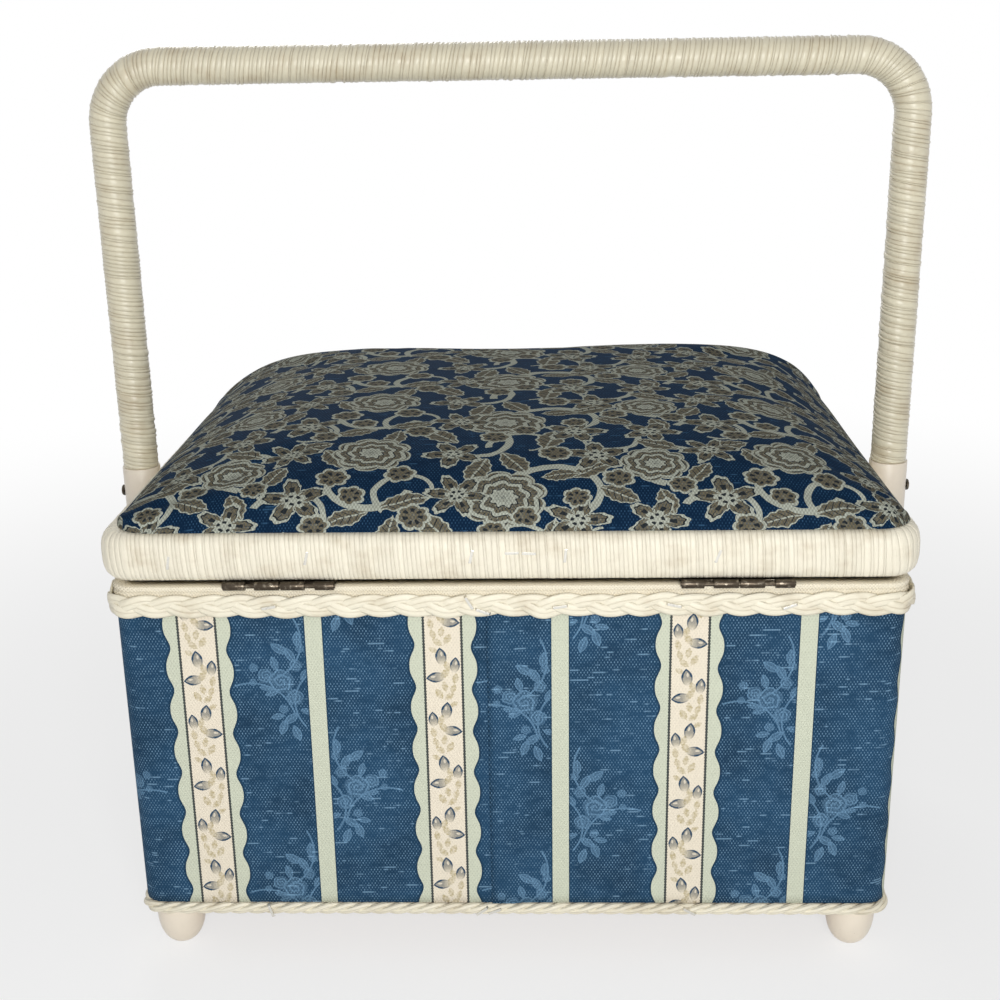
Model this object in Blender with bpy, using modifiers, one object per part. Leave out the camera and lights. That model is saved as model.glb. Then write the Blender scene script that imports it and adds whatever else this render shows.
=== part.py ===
"""Fabric covered sewing basket with a padded hinged lid and a wound swing handle.

Lengths are in metres and +Z is up. The hinge side faces +Y, and the origin is on
the floor below the middle of the box.
"""
import math

import bmesh
import bpy
from mathutils import Matrix, Vector

MM = 0.001

# Fits
SEAT_GAP = 0.3 * MM
OVERRUN = 2 * MM
WELD_DISTANCE = 0.001 * MM

# Box
BODY_WIDTH = 297 * MM
BODY_DEPTH = 191 * MM
BODY_CORNER = 9 * MM
COVER_THICKNESS = 0.8 * MM
WALL_THICKNESS = 4 * MM
LINING_THICKNESS = 0.8 * MM
BASE_THICKNESS = 5 * MM
FLOOR_PANEL_THICKNESS = 2.5 * MM
COVER_HEIGHT = 125.1 * MM
TAPE_THICKNESS = 0.8 * MM
TAPE_HEIGHT = 9.6 * MM
TAPE_INNER_LEG = 7 * MM
BRAID_HEIGHT = 9 * MM
BRAID_DEPTH = 2.7 * MM
BRAID_OVERLAP = 1.7 * MM
CORD_DIAMETER = 5 * MM
CORD_PROUD = 1.3 * MM

# Feet
FOOT_HEIGHT = 18.2 * MM
FOOT_TOP_RADIUS = 9 * MM
FOOT_BELLY_RADIUS = 9.6 * MM
FOOT_FLAT_RADIUS = 4 * MM
FOOT_DOME_HEIGHT = 8 * MM
FOOT_INSET = 12.5 * MM
FOOT_DOWEL_RADIUS = 2.5 * MM
FOOT_DOWEL_LENGTH = 4 * MM
DOWEL_CLEARANCE = 0.2 * MM

# Lid
LID_OVERHANG = 3 * MM
LID_WIDTH = BODY_WIDTH + 2 * LID_OVERHANG
LID_DEPTH = BODY_DEPTH + 2 * LID_OVERHANG
LID_CORNER = 13 * MM
LID_GAP = 2.2 * MM
RIM_HEIGHT = 19 * MM
RIM_ROUND = 6 * MM
RIM_REACH = 11.5 * MM
RIM_SQUARE_SHARE = 0.7
WRAP_THICKNESS = 2.2 * MM
LID_BOARD_THICKNESS = 3 * MM
LID_LINING_THICKNESS = 3 * MM
LID_LINING_CLEARANCE = 0.5 * MM
LINING_CORNER = 1.5 * MM
PAD_INSET = 2 * MM
PAD_TURN = 2.2 * MM
PAD_CORNER = 17 * MM
PAD_RISE = 0.6 * MM
PAD_CROWN = 34.5 * MM
FOAM_DROP = 3 * MM
FOAM_INSET = 6 * MM
PAD_SOFTNESS = 23 * MM
PAD_CORNER_BLEND = 8 * MM
PAD_COLUMNS = 10
PAD_ROWS = 8
PAD_EASE_SHARE = 0.85
PINCUSHION_RADIUS = 30 * MM
PINCUSHION_DEPTH = 11 * MM
PINCUSHION_SEAM = 1.5 * MM
PINCUSHION_SQUARE_SHARE = 0.6

# Hinges
HINGE_LENGTH = 41 * MM
HINGE_INSET = 64.5 * MM
HINGE_SPACING = BODY_WIDTH - 2 * HINGE_INSET
HINGE_OFFSET = 2 * MM
LEAF_WIDTH = 11 * MM
LEAF_THICKNESS = 0.7 * MM
LEAF_GAP = 0.2 * MM
KNUCKLE_RADIUS = 1.65 * MM
KNUCKLE_CLEARANCE = 0.35 * MM
KNUCKLE_ROOT = 1 * MM
PIN_RADIUS = 0.9 * MM
PIN_CLEARANCE = 0.1 * MM
PIN_PROUD = 0.4 * MM
LOWER_KNUCKLE_SHARES = ((0, 0.2), (0.52, 0.735))
UPPER_KNUCKLE_SHARES = ((0.285, 0.505), (0.83, 1))

# Handle
HANDLE_DIAMETER = 14.8 * MM
HANDLE_CLEARANCE = 0.8 * MM
HANDLE_BAR_HEIGHT = 203 * MM
HANDLE_BEND = 22.6 * MM
HANDLE_BEND_STEPS = 8
WINDING_GROOVE = 0.45 * MM
WINDING_RIBS = 160
TUBE_DIAMETER = 11 * MM
TUBE_WALL = 1.2 * MM
PIVOT_BELOW_COVER_TOP = 9.9 * MM
SOCKET_RADIUS = 7.9 * MM
SOCKET_TOP = 39 * MM
SOCKET_SHOULDER = 21 * MM
SOCKET_TAPER = 13 * MM
SOCKET_CUP_DEPTH = 16 * MM
TONGUE_THICKNESS = 4.6 * MM
SOCKET_SCREW_HEIGHT = 28 * MM
SOCKET_SCREW_RADIUS = 1.4 * MM
SOCKET_SCREW_HEAD = 2.4 * MM
SOCKET_SCREW_HEAD_HEIGHT = 1 * MM
PIVOT_RADIUS = 1.9 * MM
PIVOT_CLEARANCE = 0.1 * MM
PIVOT_HEAD_RADIUS = 4.4 * MM
PIVOT_HEAD_HEIGHT = 1.8 * MM
HEAD_EDGE_SHARE = 1 / 3
SPACER_RADIUS = 6 * MM
NUT_RADIUS = 3.9 * MM
NUT_HEIGHT = 2 * MM

# Tray and its ledges
TRAY_SIDE_CLEARANCE = 5.3 * MM
TRAY_END_CLEARANCE = 3.3 * MM
TRAY_HEIGHT = 30 * MM
TRAY_BELOW_TAPE_TOP = 11.8 * MM
TRAY_WALL = 2 * MM
TRAY_CORNER = 7 * MM
TRAY_LIP = 1.6 * MM
TRAY_LIP_HEIGHT = 2.4 * MM
POCKET_CORNER = 5 * MM
FRONT_ROW_SHARE = 0.46
FRONT_POCKET_SHARES = (1 / 3, 1 / 3, 1 / 3)
REAR_POCKET_SHARES = (0.68, 0.32)
LEDGE_WIDTH = 12 * MM
LEDGE_HEIGHT = 6 * MM
LEDGE_END_CLEARANCE = 8 * MM

# Fineness of round work
CORNER_STEPS = 5
SECTION_STEPS = 5
TURNED_STEPS = 16
PROFILE_STEPS = 4
ROUND_SIDES = 16
FINE_BEVEL_STEPS = 2

# Angles in degrees
QUARTER_TURN = 90
HALF_TURN = 2 * QUARTER_TURN
FULL_TURN = 4 * QUARTER_TURN
CREASE_ANGLE = 35
SOFT_CREASE_ANGLE = 80
RIB_CREASE_ANGLE = 60
CUSHION_CREASE_ANGLE = 50

# Places that follow from the sizes above
BODY_X = BODY_WIDTH / 2
BODY_Y = BODY_DEPTH / 2
BASE_BOTTOM = FOOT_HEIGHT + SEAT_GAP
BASE_TOP = BASE_BOTTOM + BASE_THICKNESS
COVER_BOTTOM = BASE_TOP + SEAT_GAP
COVER_TOP = COVER_BOTTOM + COVER_HEIGHT
TAPE_BOTTOM = COVER_TOP + SEAT_GAP
TAPE_TOP = TAPE_BOTTOM + TAPE_HEIGHT
WALL_TOP = TAPE_TOP - TAPE_THICKNESS - SEAT_GAP
WALL_INSET = COVER_THICKNESS + SEAT_GAP
LINING_INSET = WALL_INSET + WALL_THICKNESS + SEAT_GAP
INSIDE_X = BODY_X - LINING_INSET - LINING_THICKNESS
INSIDE_Y = BODY_Y - LINING_INSET - LINING_THICKNESS
FLOOR_TOP = COVER_BOTTOM + FLOOR_PANEL_THICKNESS
LID_X = LID_WIDTH / 2
LID_Y = LID_DEPTH / 2
RIM_BOTTOM = TAPE_TOP + LID_GAP
RIM_TOP = RIM_BOTTOM + RIM_HEIGHT
RIM_MIDDLE = RIM_BOTTOM + RIM_HEIGHT / 2
LID_BOARD_BOTTOM = RIM_TOP + SEAT_GAP
LID_BOARD_TOP = LID_BOARD_BOTTOM + LID_BOARD_THICKNESS
HINGE_Y = BODY_Y + HINGE_OFFSET
HINGE_Z = TAPE_TOP + LID_GAP / 2
PIVOT_Z = COVER_TOP - PIVOT_BELOW_COVER_TOP
BAR_Z = PIVOT_Z + HANDLE_BAR_HEIGHT
HANDLE_INNER_X = LID_X + HANDLE_CLEARANCE
HANDLE_X = HANDLE_INNER_X + HANDLE_DIAMETER / 2
SOCKET_TOP_Z = PIVOT_Z + SOCKET_TOP
TUBE_FOOT_Z = SOCKET_TOP_Z - SOCKET_CUP_DEPTH + SEAT_GAP
WINDING_FOOT_Z = SOCKET_TOP_Z + SEAT_GAP
TRAY_TOP = TAPE_TOP - TRAY_BELOW_TAPE_TOP
TRAY_BOTTOM = TRAY_TOP - TRAY_HEIGHT
TRAY_X = INSIDE_X - TRAY_SIDE_CLEARANCE
TRAY_Y = INSIDE_Y - TRAY_END_CLEARANCE

# Finishes: colour, roughness and metallic
PAPER_CORD = ((0.80, 0.74, 0.58), 0.65, 0)
PALE_PLASTIC = ((0.78, 0.70, 0.60), 0.4, 0)
TRAY_PLASTIC = ((0.84, 0.80, 0.70), 0.3, 0)
NAVY_PRINT = ((0.03, 0.07, 0.17), 0.9, 0)
BLUE_PRINT = ((0.07, 0.16, 0.31), 0.9, 0)
SATIN = ((0.82, 0.78, 0.68), 0.45, 0)
FOAM = ((0.82, 0.78, 0.68), 0.9, 0)
BOARD = ((0.50, 0.38, 0.25), 0.8, 0)
TUBE_METAL = ((0.60, 0.58, 0.55), 0.4, 1)
BRONZE = ((0.25, 0.19, 0.12), 0.35, 1)


def clear_scene():
    """Remove every object of the open scene."""
    for item in list(bpy.data.objects):
        bpy.data.objects.remove(item, do_unlink=True)


def new_collection(name):
    """Add a collection to the scene."""
    collection = bpy.data.collections.new(name)
    bpy.context.scene.collection.children.link(collection)
    return collection


clear_scene()
PARTS = new_collection("sewing_basket")
CUTTERS = new_collection("cutters")


def paint(item, finish):
    """Give an object its own Principled material from a colour, roughness and metallic value."""
    colour, roughness, metallic = finish
    material = bpy.data.materials.new(item.name)
    material.use_nodes = True
    shader = material.node_tree.nodes["Principled BSDF"]
    shader.inputs["Base Color"].default_value = (*colour, 1)
    shader.inputs["Roughness"].default_value = roughness
    shader.inputs["Metallic"].default_value = metallic
    item.data.materials.clear()
    item.data.materials.append(material)
    return item


def add_mesh(name, work, collection=None):
    """Turn a bmesh into an object of the given collection."""
    mesh = bpy.data.meshes.new(name)
    work.to_mesh(mesh)
    work.free()
    item = bpy.data.objects.new(name, mesh)
    (collection or PARTS).objects.link(item)
    return item


def smooth(item, degrees=CREASE_ANGLE):
    """Shade an object smooth, with edges sharper than the angle kept."""
    item.data.shade_smooth()
    item.data.set_sharp_from_angle(angle=math.radians(degrees))
    return item


def curve_to_mesh(item):
    """Replace a curve object by its closed mesh."""
    bpy.context.view_layer.update()
    depsgraph = bpy.context.evaluated_depsgraph_get()
    mesh = bpy.data.meshes.new_from_object(item.evaluated_get(depsgraph))
    work = bmesh.new()
    work.from_mesh(mesh)
    bmesh.ops.remove_doubles(work, verts=work.verts, dist=WELD_DISTANCE)
    bmesh.ops.recalc_face_normals(work, faces=work.faces)
    work.to_mesh(mesh)
    work.free()
    name = item.name
    place = item.matrix_world.copy()
    collection = item.users_collection[0]
    bpy.data.objects.remove(item, do_unlink=True)
    solid = bpy.data.objects.new(name, mesh)
    solid.matrix_world = place
    collection.objects.link(solid)
    return solid


def add_curve(name, dimensions, collection=None):
    """Add an empty curve object."""
    data = bpy.data.curves.new(name, "CURVE")
    data.dimensions = dimensions
    item = bpy.data.objects.new(name, data)
    (collection or PARTS).objects.link(item)
    return item


def add_spline(item, points, cyclic, radii=None):
    """Add a poly spline through points to a curve object."""
    spline = item.data.splines.new("POLY")
    spline.points.add(len(points) - 1)
    for index, point in enumerate(points):
        place = Vector(point).to_3d()
        spline.points[index].co = (*place, 1)
        spline.points[index].radius = radii[index] if radii else 1
    spline.use_cyclic_u = cyclic


def arc(centre_x, centre_y, radius, start, end, steps):
    """Points on an arc, with its angles in degrees."""
    points = []
    for step in range(steps + 1):
        angle = math.radians(start + (end - start) * step / steps)
        points.append((centre_x + radius * math.cos(angle), centre_y + radius * math.sin(angle)))
    return points


def rounded_outline(half_x, half_y, radius, steps=CORNER_STEPS):
    """Points of a rounded rectangle, counter-clockwise."""
    points = []
    for quarter, (side_x, side_y) in enumerate(((1, 1), (-1, 1), (-1, -1), (1, -1))):
        start = QUARTER_TURN * quarter
        corner_x = side_x * (half_x - radius)
        corner_y = side_y * (half_y - radius)
        points += arc(corner_x, corner_y, radius, start, start + QUARTER_TURN, steps)
    return points


def flat_solid(name, outlines, low, high, collection=None):
    """Extrude filled outlines between two heights, the later ones as holes."""
    item = add_curve(name, "2D", collection)
    item.data.fill_mode = "BOTH"
    item.data.extrude = (high - low) / 2
    for outline in outlines:
        add_spline(item, outline, True)
    item.location.z = (low + high) / 2
    return curve_to_mesh(item)


def wall_ring(name, half_x, half_y, corner, thickness, low, high):
    """A rounded rectangular wall of even thickness."""
    outside = rounded_outline(half_x, half_y, corner)
    inner_corner = corner - thickness
    inside = rounded_outline(half_x - thickness, half_y - thickness, inner_corner)
    return flat_solid(name, (outside, inside), low, high)


def swept_ring(name, half_x, half_y, corner, height, section):
    """Sweep a closed section, written as outward and upward, round a rounded rectangle."""
    guide = add_curve(name + "_section", "2D", CUTTERS)
    add_spline(guide, section, True)
    guide.hide_render = True
    item = add_curve(name, "3D")
    add_spline(item, rounded_outline(half_x, half_y, corner), True)
    item.data.twist_mode = "Z_UP"
    item.data.bevel_mode = "OBJECT"
    item.data.bevel_object = guide
    item.location.z = height
    solid = curve_to_mesh(item)
    bpy.data.objects.remove(guide, do_unlink=True)
    return solid


def tube(name, points, radius, radii=None, collection=None):
    """A round tube along points with closed ends."""
    item = add_curve(name, "3D", collection)
    item.data.bevel_depth = radius
    item.data.bevel_resolution = FINE_BEVEL_STEPS
    item.data.use_fill_caps = True
    add_spline(item, points, False, radii)
    return curve_to_mesh(item)


def cylinder(name, radius, low, high, sides=ROUND_SIDES, collection=None):
    """A cylinder along local Z between two heights."""
    work = bmesh.new()
    bmesh.ops.create_cone(
        work, cap_ends=True, segments=sides, radius1=radius, radius2=radius, depth=high - low
    )
    bmesh.ops.translate(work, vec=(0, 0, (low + high) / 2), verts=work.verts)
    return add_mesh(name, work, collection)


def block(name, low, high, collection=None):
    """A box between two corners."""
    work = bmesh.new()
    bmesh.ops.create_cube(work, size=1)
    size = [b - a for a, b in zip(low, high)]
    middle = [(a + b) / 2 for a, b in zip(low, high)]
    bmesh.ops.scale(work, vec=size, verts=work.verts)
    bmesh.ops.translate(work, vec=middle, verts=work.verts)
    return add_mesh(name, work, collection)


def turned(name, profile):
    """Turn a profile of radius and height about Z, listed top to bottom or as a closed ring."""
    mesh = bpy.data.meshes.new(name)
    closed = profile[0] == profile[-1]
    points = [(radius, 0, height) for radius, height in (profile[:-1] if closed else profile)]
    edges = [(index, index + 1) for index in range(len(points) - 1)]
    if closed:
        edges.append((len(points) - 1, 0))
    mesh.from_pydata(points, edges, [])
    item = bpy.data.objects.new(name, mesh)
    PARTS.objects.link(item)
    screw = item.modifiers.new("turned", "SCREW")
    screw.steps = TURNED_STEPS
    screw.render_steps = TURNED_STEPS
    screw.use_merge_vertices = True
    screw.merge_threshold = WELD_DISTANCE
    return item


def combine(item, other, operation):
    """Join, cut or intersect an object with another solid."""
    if other.name in PARTS.objects:
        PARTS.objects.unlink(other)
        CUTTERS.objects.link(other)
    other.hide_render = True
    other.display_type = "WIRE"
    step = item.modifiers.new(operation.lower(), "BOOLEAN")
    step.operation = operation
    step.solver = "EXACT"
    step.object = other
    return item


def along_x(item, place):
    """Lay an object that is built along Z along X and put it in its place."""
    item.matrix_world = Matrix.Translation(place) @ Matrix.Rotation(math.radians(QUARTER_TURN), 4, "Y")
    return item


def make_base():
    """Base board with its dowel holes, floor panel and lower cord."""
    edge = CORD_DIAMETER + SEAT_GAP - CORD_PROUD
    outline = rounded_outline(BODY_X - edge, BODY_Y - edge, BODY_CORNER - edge)
    base = flat_solid("base_board", (outline,), BASE_BOTTOM, BASE_TOP)
    for side_x, side_y in ((1, 1), (-1, 1), (-1, -1), (1, -1)):
        hole = cylinder("foot_hole", FOOT_DOWEL_RADIUS + DOWEL_CLEARANCE, -OVERRUN,
                        FOOT_DOWEL_LENGTH + SEAT_GAP, collection=CUTTERS)
        hole.location = (*foot_place(side_x, side_y), BASE_BOTTOM)
        combine(base, hole, "DIFFERENCE")
    paint(base, BOARD)

    inset = LINING_INSET
    outline = rounded_outline(BODY_X - inset, BODY_Y - inset, BODY_CORNER - inset)
    panel = flat_solid("floor_panel", (outline,), COVER_BOTTOM, FLOOR_TOP)
    paint(panel, SATIN)

    inset = CORD_DIAMETER / 2 - CORD_PROUD
    cord = add_curve("bottom_cord", "3D")
    cord.data.bevel_depth = CORD_DIAMETER / 2
    cord.data.bevel_resolution = FINE_BEVEL_STEPS
    outline = rounded_outline(BODY_X - inset, BODY_Y - inset, BODY_CORNER - inset)
    add_spline(cord, outline, True)
    cord.location.z = BASE_BOTTOM + CORD_DIAMETER / 2
    paint(smooth(curve_to_mesh(cord)), PAPER_CORD)


def foot_place(side_x, side_y):
    """Plan position of a foot's middle."""
    return side_x * (BODY_X - FOOT_INSET), side_y * (BODY_Y - FOOT_INSET)


def make_foot(name, side_x, side_y):
    """Turned foot with a dowel above and a flattened dome below."""
    shoulder = FOOT_DOME_HEIGHT
    profile = [
        (0, FOOT_HEIGHT + FOOT_DOWEL_LENGTH),
        (FOOT_DOWEL_RADIUS, FOOT_HEIGHT + FOOT_DOWEL_LENGTH),
        (FOOT_DOWEL_RADIUS, FOOT_HEIGHT),
        (FOOT_TOP_RADIUS, FOOT_HEIGHT),
        (FOOT_BELLY_RADIUS, (FOOT_HEIGHT + shoulder) / 2),
    ]
    for step in range(PROFILE_STEPS + 1):
        angle = math.radians(QUARTER_TURN) * step / PROFILE_STEPS
        radius = FOOT_FLAT_RADIUS + (FOOT_BELLY_RADIUS - FOOT_FLAT_RADIUS) * math.cos(angle)
        profile.append((radius, shoulder * (1 - math.sin(angle))))
    profile.append((0, 0))
    foot = smooth(turned(name, profile))
    foot.location = (*foot_place(side_x, side_y), 0)
    paint(foot, PALE_PLASTIC)


def make_walls():
    """Board walls, printed cover and inner lining, each bored for the handle pivots."""
    walls = wall_ring("wall_shell", BODY_X - WALL_INSET, BODY_Y - WALL_INSET,
                      BODY_CORNER - WALL_INSET, WALL_THICKNESS, COVER_BOTTOM, WALL_TOP)
    cover = wall_ring("printed_cover", BODY_X, BODY_Y, BODY_CORNER, COVER_THICKNESS,
                      COVER_BOTTOM, COVER_TOP)
    tape_foot = TAPE_TOP - TAPE_INNER_LEG
    lining = wall_ring("wall_lining", BODY_X - LINING_INSET, BODY_Y - LINING_INSET,
                       BODY_CORNER - LINING_INSET, LINING_THICKNESS, FLOOR_TOP + SEAT_GAP,
                       tape_foot - SEAT_GAP)
    bore = cylinder("pivot_bore", PIVOT_RADIUS + PIVOT_CLEARANCE, -LID_X, LID_X, collection=CUTTERS)
    along_x(bore, (0, 0, PIVOT_Z))
    for item in (walls, cover, lining):
        combine(item, bore, "DIFFERENCE")
    paint(walls, BOARD)
    paint(smooth(cover), BLUE_PRINT)
    paint(smooth(lining), SATIN)


def make_tape():
    """Ribbed tape folded over the top edge of the walls."""
    inset = WALL_INSET + WALL_THICKNESS / 2
    outer = inset
    inner = -(WALL_THICKNESS / 2 + SEAT_GAP + TAPE_THICKNESS)
    outer_leg = -TAPE_HEIGHT
    section = [
        (outer, outer_leg), (outer, 0), (inner, 0), (inner, -TAPE_INNER_LEG),
        (inner + TAPE_THICKNESS, -TAPE_INNER_LEG), (inner + TAPE_THICKNESS, -TAPE_THICKNESS),
        (outer - TAPE_THICKNESS, -TAPE_THICKNESS), (outer - TAPE_THICKNESS, outer_leg),
    ]
    tape = swept_ring("rim_tape", BODY_X - inset, BODY_Y - inset, BODY_CORNER - inset,
                      TAPE_TOP, section)
    paint(smooth(tape), PAPER_CORD)


def make_braid():
    """Braid round the top of the printed cover, flat behind and round in front."""
    half = BRAID_HEIGHT / 2
    section = [(SEAT_GAP, -half), (SEAT_GAP, half)]
    for step in range(1, 2 * SECTION_STEPS):
        angle = math.radians(QUARTER_TURN - HALF_TURN * step / (2 * SECTION_STEPS))
        section.append((SEAT_GAP + BRAID_DEPTH * math.cos(angle), half * math.sin(angle)))
    middle = COVER_TOP - BRAID_OVERLAP + half
    braid = swept_ring("top_braid", BODY_X, BODY_Y, BODY_CORNER, middle, section)
    paint(smooth(braid), PAPER_CORD)


def half_round(reach, rise, depth):
    """Outer edge of a rim section from its top inner end to its bottom inner end.

    The edge is straight from the inner end at -depth, and bulges out to reach.
    """
    points = [(-depth, rise)]
    for step in range(2 * SECTION_STEPS + 1):
        angle = math.radians(QUARTER_TURN - QUARTER_TURN * step / SECTION_STEPS)
        bulge = abs(math.cos(angle)) ** RIM_SQUARE_SHARE
        lift = math.copysign(abs(math.sin(angle)) ** RIM_SQUARE_SHARE, math.sin(angle))
        points.append((reach * bulge, rise * lift))
    points.append((-depth, -rise))
    return points


def make_lid_rim():
    """Wound rim and the wooden frame inside it."""
    inset = RIM_ROUND
    depth = RIM_REACH - RIM_ROUND
    half = RIM_HEIGHT / 2
    outer = half_round(RIM_ROUND, half, depth)
    inner = half_round(RIM_ROUND - WRAP_THICKNESS, half - WRAP_THICKNESS, depth)
    wrap = swept_ring("rim_winding", LID_X - inset, LID_Y - inset, LID_CORNER - inset,
                      RIM_MIDDLE, outer + inner[::-1])
    paint(smooth(wrap), PAPER_CORD)
    clear = WRAP_THICKNESS + SEAT_GAP
    core = half_round(RIM_ROUND - clear, half - clear, depth)
    frame = swept_ring("lid_frame", LID_X - inset, LID_Y - inset, LID_CORNER - inset,
                       RIM_MIDDLE, core)
    paint(frame, BOARD)


def crown(x, y, half_x, half_y, height):
    """Height of the padded top over its base at a place in plan."""
    near_x = max(half_x - abs(x), 0)
    near_y = max(half_y - abs(y), 0)
    blend = math.exp(-near_x / PAD_CORNER_BLEND) + math.exp(-near_y / PAD_CORNER_BLEND)
    edge = max(-PAD_CORNER_BLEND * math.log(blend), 0)
    return height * (1 - math.exp(-edge / PAD_SOFTNESS))


def pad_cage(inset, seat, foot, height):
    """Coarse cage of the padded top, open below.

    Its side stands at seat, its crown starts at foot and rises by height.
    """
    half_x = LID_X - PAD_INSET - inset
    half_y = LID_Y - PAD_INSET - inset
    work = bmesh.new()
    bmesh.ops.create_grid(work, x_segments=PAD_COLUMNS, y_segments=PAD_ROWS, size=1)
    ease = PAD_EASE_SHARE * math.pi / 2
    for vertex in work.verts:
        x = half_x * math.sin(vertex.co.x * ease) / math.sin(ease)
        y = half_y * math.sin(vertex.co.y * ease) / math.sin(ease)
        vertex.co = (x, y, foot + crown(x, y, half_x, half_y, height))
    rim = [edge for edge in work.edges if edge.is_boundary]
    for element in bmesh.ops.extrude_edge_only(work, edges=rim)["geom"]:
        if isinstance(element, bmesh.types.BMVert):
            element.co.z = seat
    return work


def subdivide(item):
    """Round a cage by one level of subdivision."""
    step = item.modifiers.new("rounded", "SUBSURF")
    step.levels = 1
    step.render_levels = 1
    return item


def make_pad():
    """Lid board, foam and the printed cover drawn over them."""
    inset = PAD_INSET + COVER_THICKNESS + SEAT_GAP + PAD_TURN
    outline = rounded_outline(LID_X - inset, LID_Y - inset, PAD_CORNER - PAD_TURN)
    board = flat_solid("lid_board", (outline,), LID_BOARD_BOTTOM, LID_BOARD_TOP)
    paint(board, BOARD)

    foot = LID_BOARD_TOP + PAD_RISE
    cover = subdivide(add_mesh("pad_cover", pad_cage(0, LID_BOARD_BOTTOM, foot, PAD_CROWN)))
    shell = cover.modifiers.new("cloth", "SOLIDIFY")
    shell.thickness = COVER_THICKNESS
    shell.offset = -1
    paint(smooth(cover, SOFT_CREASE_ANGLE), NAVY_PRINT)

    seat = LID_BOARD_TOP + SEAT_GAP
    cage = pad_cage(FOAM_INSET, seat, foot, PAD_CROWN - FOAM_DROP)
    bottom = [edge for edge in cage.edges if edge.is_boundary]
    bmesh.ops.contextual_create(cage, geom=bottom)
    bmesh.ops.recalc_face_normals(cage, faces=cage.faces)
    foam = add_mesh("pad_foam", cage)
    paint(smooth(foam, SOFT_CREASE_ANGLE), FOAM)


def make_lid_inside():
    """Lining panel inside the lid and the pincushion sewn to it."""
    inset = RIM_REACH + LID_LINING_CLEARANCE
    top = LID_BOARD_BOTTOM - SEAT_GAP
    bottom = top - LID_LINING_THICKNESS
    outline = rounded_outline(LID_X - inset, LID_Y - inset, LINING_CORNER)
    panel = flat_solid("lid_lining", (outline,), bottom, top)
    paint(panel, SATIN)

    seat = bottom - SEAT_GAP
    profile = [(0, seat), (PINCUSHION_RADIUS - PINCUSHION_SEAM, seat)]
    for step in range(PROFILE_STEPS + 1):
        angle = math.radians(QUARTER_TURN) * step / PROFILE_STEPS
        spread = math.cos(angle) ** PINCUSHION_SQUARE_SHARE if step < PROFILE_STEPS else 0
        radius = PINCUSHION_RADIUS * spread
        fall = PINCUSHION_SEAM + (PINCUSHION_DEPTH - PINCUSHION_SEAM) * math.sin(angle)
        profile.append((radius, seat - fall))
    paint(smooth(turned("pincushion", profile), CUSHION_CREASE_ANGLE), SATIN)


def knuckle(name, start, end, up):
    """Hinge knuckle with the root that joins it to its leaf, between two places along X.

    up is 1 for the leaf on the lid and -1 for the leaf on the box.
    """
    near = LEAF_GAP / 2
    far = near + LEAF_THICKNESS
    root = KNUCKLE_RADIUS + KNUCKLE_CLEARANCE + KNUCKLE_ROOT
    first = HALF_TURN + math.degrees(math.asin(far / KNUCKLE_RADIUS))
    last = HALF_TURN + FULL_TURN + math.degrees(math.asin(near / KNUCKLE_RADIUS))
    outside = [(-root, -far)]
    outside += arc(0, 0, KNUCKLE_RADIUS, first, last, ROUND_SIDES)
    outside.append((-root, -near))
    last_side = FULL_TURN - FULL_TURN / ROUND_SIDES
    hole = arc(0, 0, PIN_RADIUS + PIN_CLEARANCE, 0, last_side, ROUND_SIDES - 1)
    outlines = [[(y, -up * z) for y, z in outline] for outline in (outside, hole)]
    item = flat_solid(name, outlines, start, end, CUTTERS)
    turn = Matrix(((0, 0, 1, 0), (1, 0, 0, 0), (0, 1, 0, 0), (0, 0, 0, 1)))
    item.matrix_world = turn @ item.matrix_world
    return item


def make_leaf(name, middle, shares, up):
    """Hinge leaf with its knuckles, which reach round the pin."""
    inner = -(KNUCKLE_RADIUS + KNUCKLE_CLEARANCE)
    near = up * LEAF_GAP / 2
    far = up * (LEAF_GAP / 2 + LEAF_THICKNESS)
    low = (-HINGE_LENGTH / 2, inner - LEAF_WIDTH, min(near, far))
    high = (HINGE_LENGTH / 2, inner, max(near, far))
    leaf = block(name, low, high)
    leaf.location = (middle, HINGE_Y, HINGE_Z)
    for index, (start, end) in enumerate(shares):
        x_start = HINGE_LENGTH * (0.5 - end)
        x_end = HINGE_LENGTH * (0.5 - start)
        piece = knuckle(f"{name}_knuckle_{index + 1}", x_start, x_end, up)
        piece.matrix_world = Matrix.Translation(leaf.location) @ piece.matrix_world
        combine(leaf, piece, "UNION")
    return paint(smooth(leaf), BRONZE)


def make_hinge(side, middle):
    """Two leaves and the pin of one hinge."""
    make_leaf(f"hinge_{side}_box_leaf", middle, LOWER_KNUCKLE_SHARES, -1)
    make_leaf(f"hinge_{side}_lid_leaf", middle, UPPER_KNUCKLE_SHARES, 1)
    reach = HINGE_LENGTH / 2 + PIN_PROUD
    pin = cylinder(f"hinge_{side}_pin", PIN_RADIUS, -reach, reach)
    along_x(pin, (middle, HINGE_Y, HINGE_Z))
    paint(smooth(pin), BRONZE)


def handle_point(distance, foot):
    """Place on the handle's centre line, a distance along it from its left foot."""
    leg = BAR_Z - HANDLE_BEND - foot
    bend = HANDLE_BEND * math.pi / 2
    half = leg + bend + HANDLE_X - HANDLE_BEND
    side = -1 if distance < half else 1
    rest = min(distance, 2 * half - distance)
    if rest < leg:
        return side * HANDLE_X, 0, foot + rest
    if rest < leg + bend:
        angle = (rest - leg) / HANDLE_BEND
        out = HANDLE_X - HANDLE_BEND + HANDLE_BEND * math.cos(angle)
        return side * out, 0, BAR_Z - HANDLE_BEND + HANDLE_BEND * math.sin(angle)
    return side * (half - rest), 0, BAR_Z


def handle_length(foot):
    """Length of the handle's centre line between its feet."""
    leg = BAR_Z - HANDLE_BEND - foot
    return 2 * (leg + HANDLE_BEND * math.pi / 2 + HANDLE_X - HANDLE_BEND)


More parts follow.
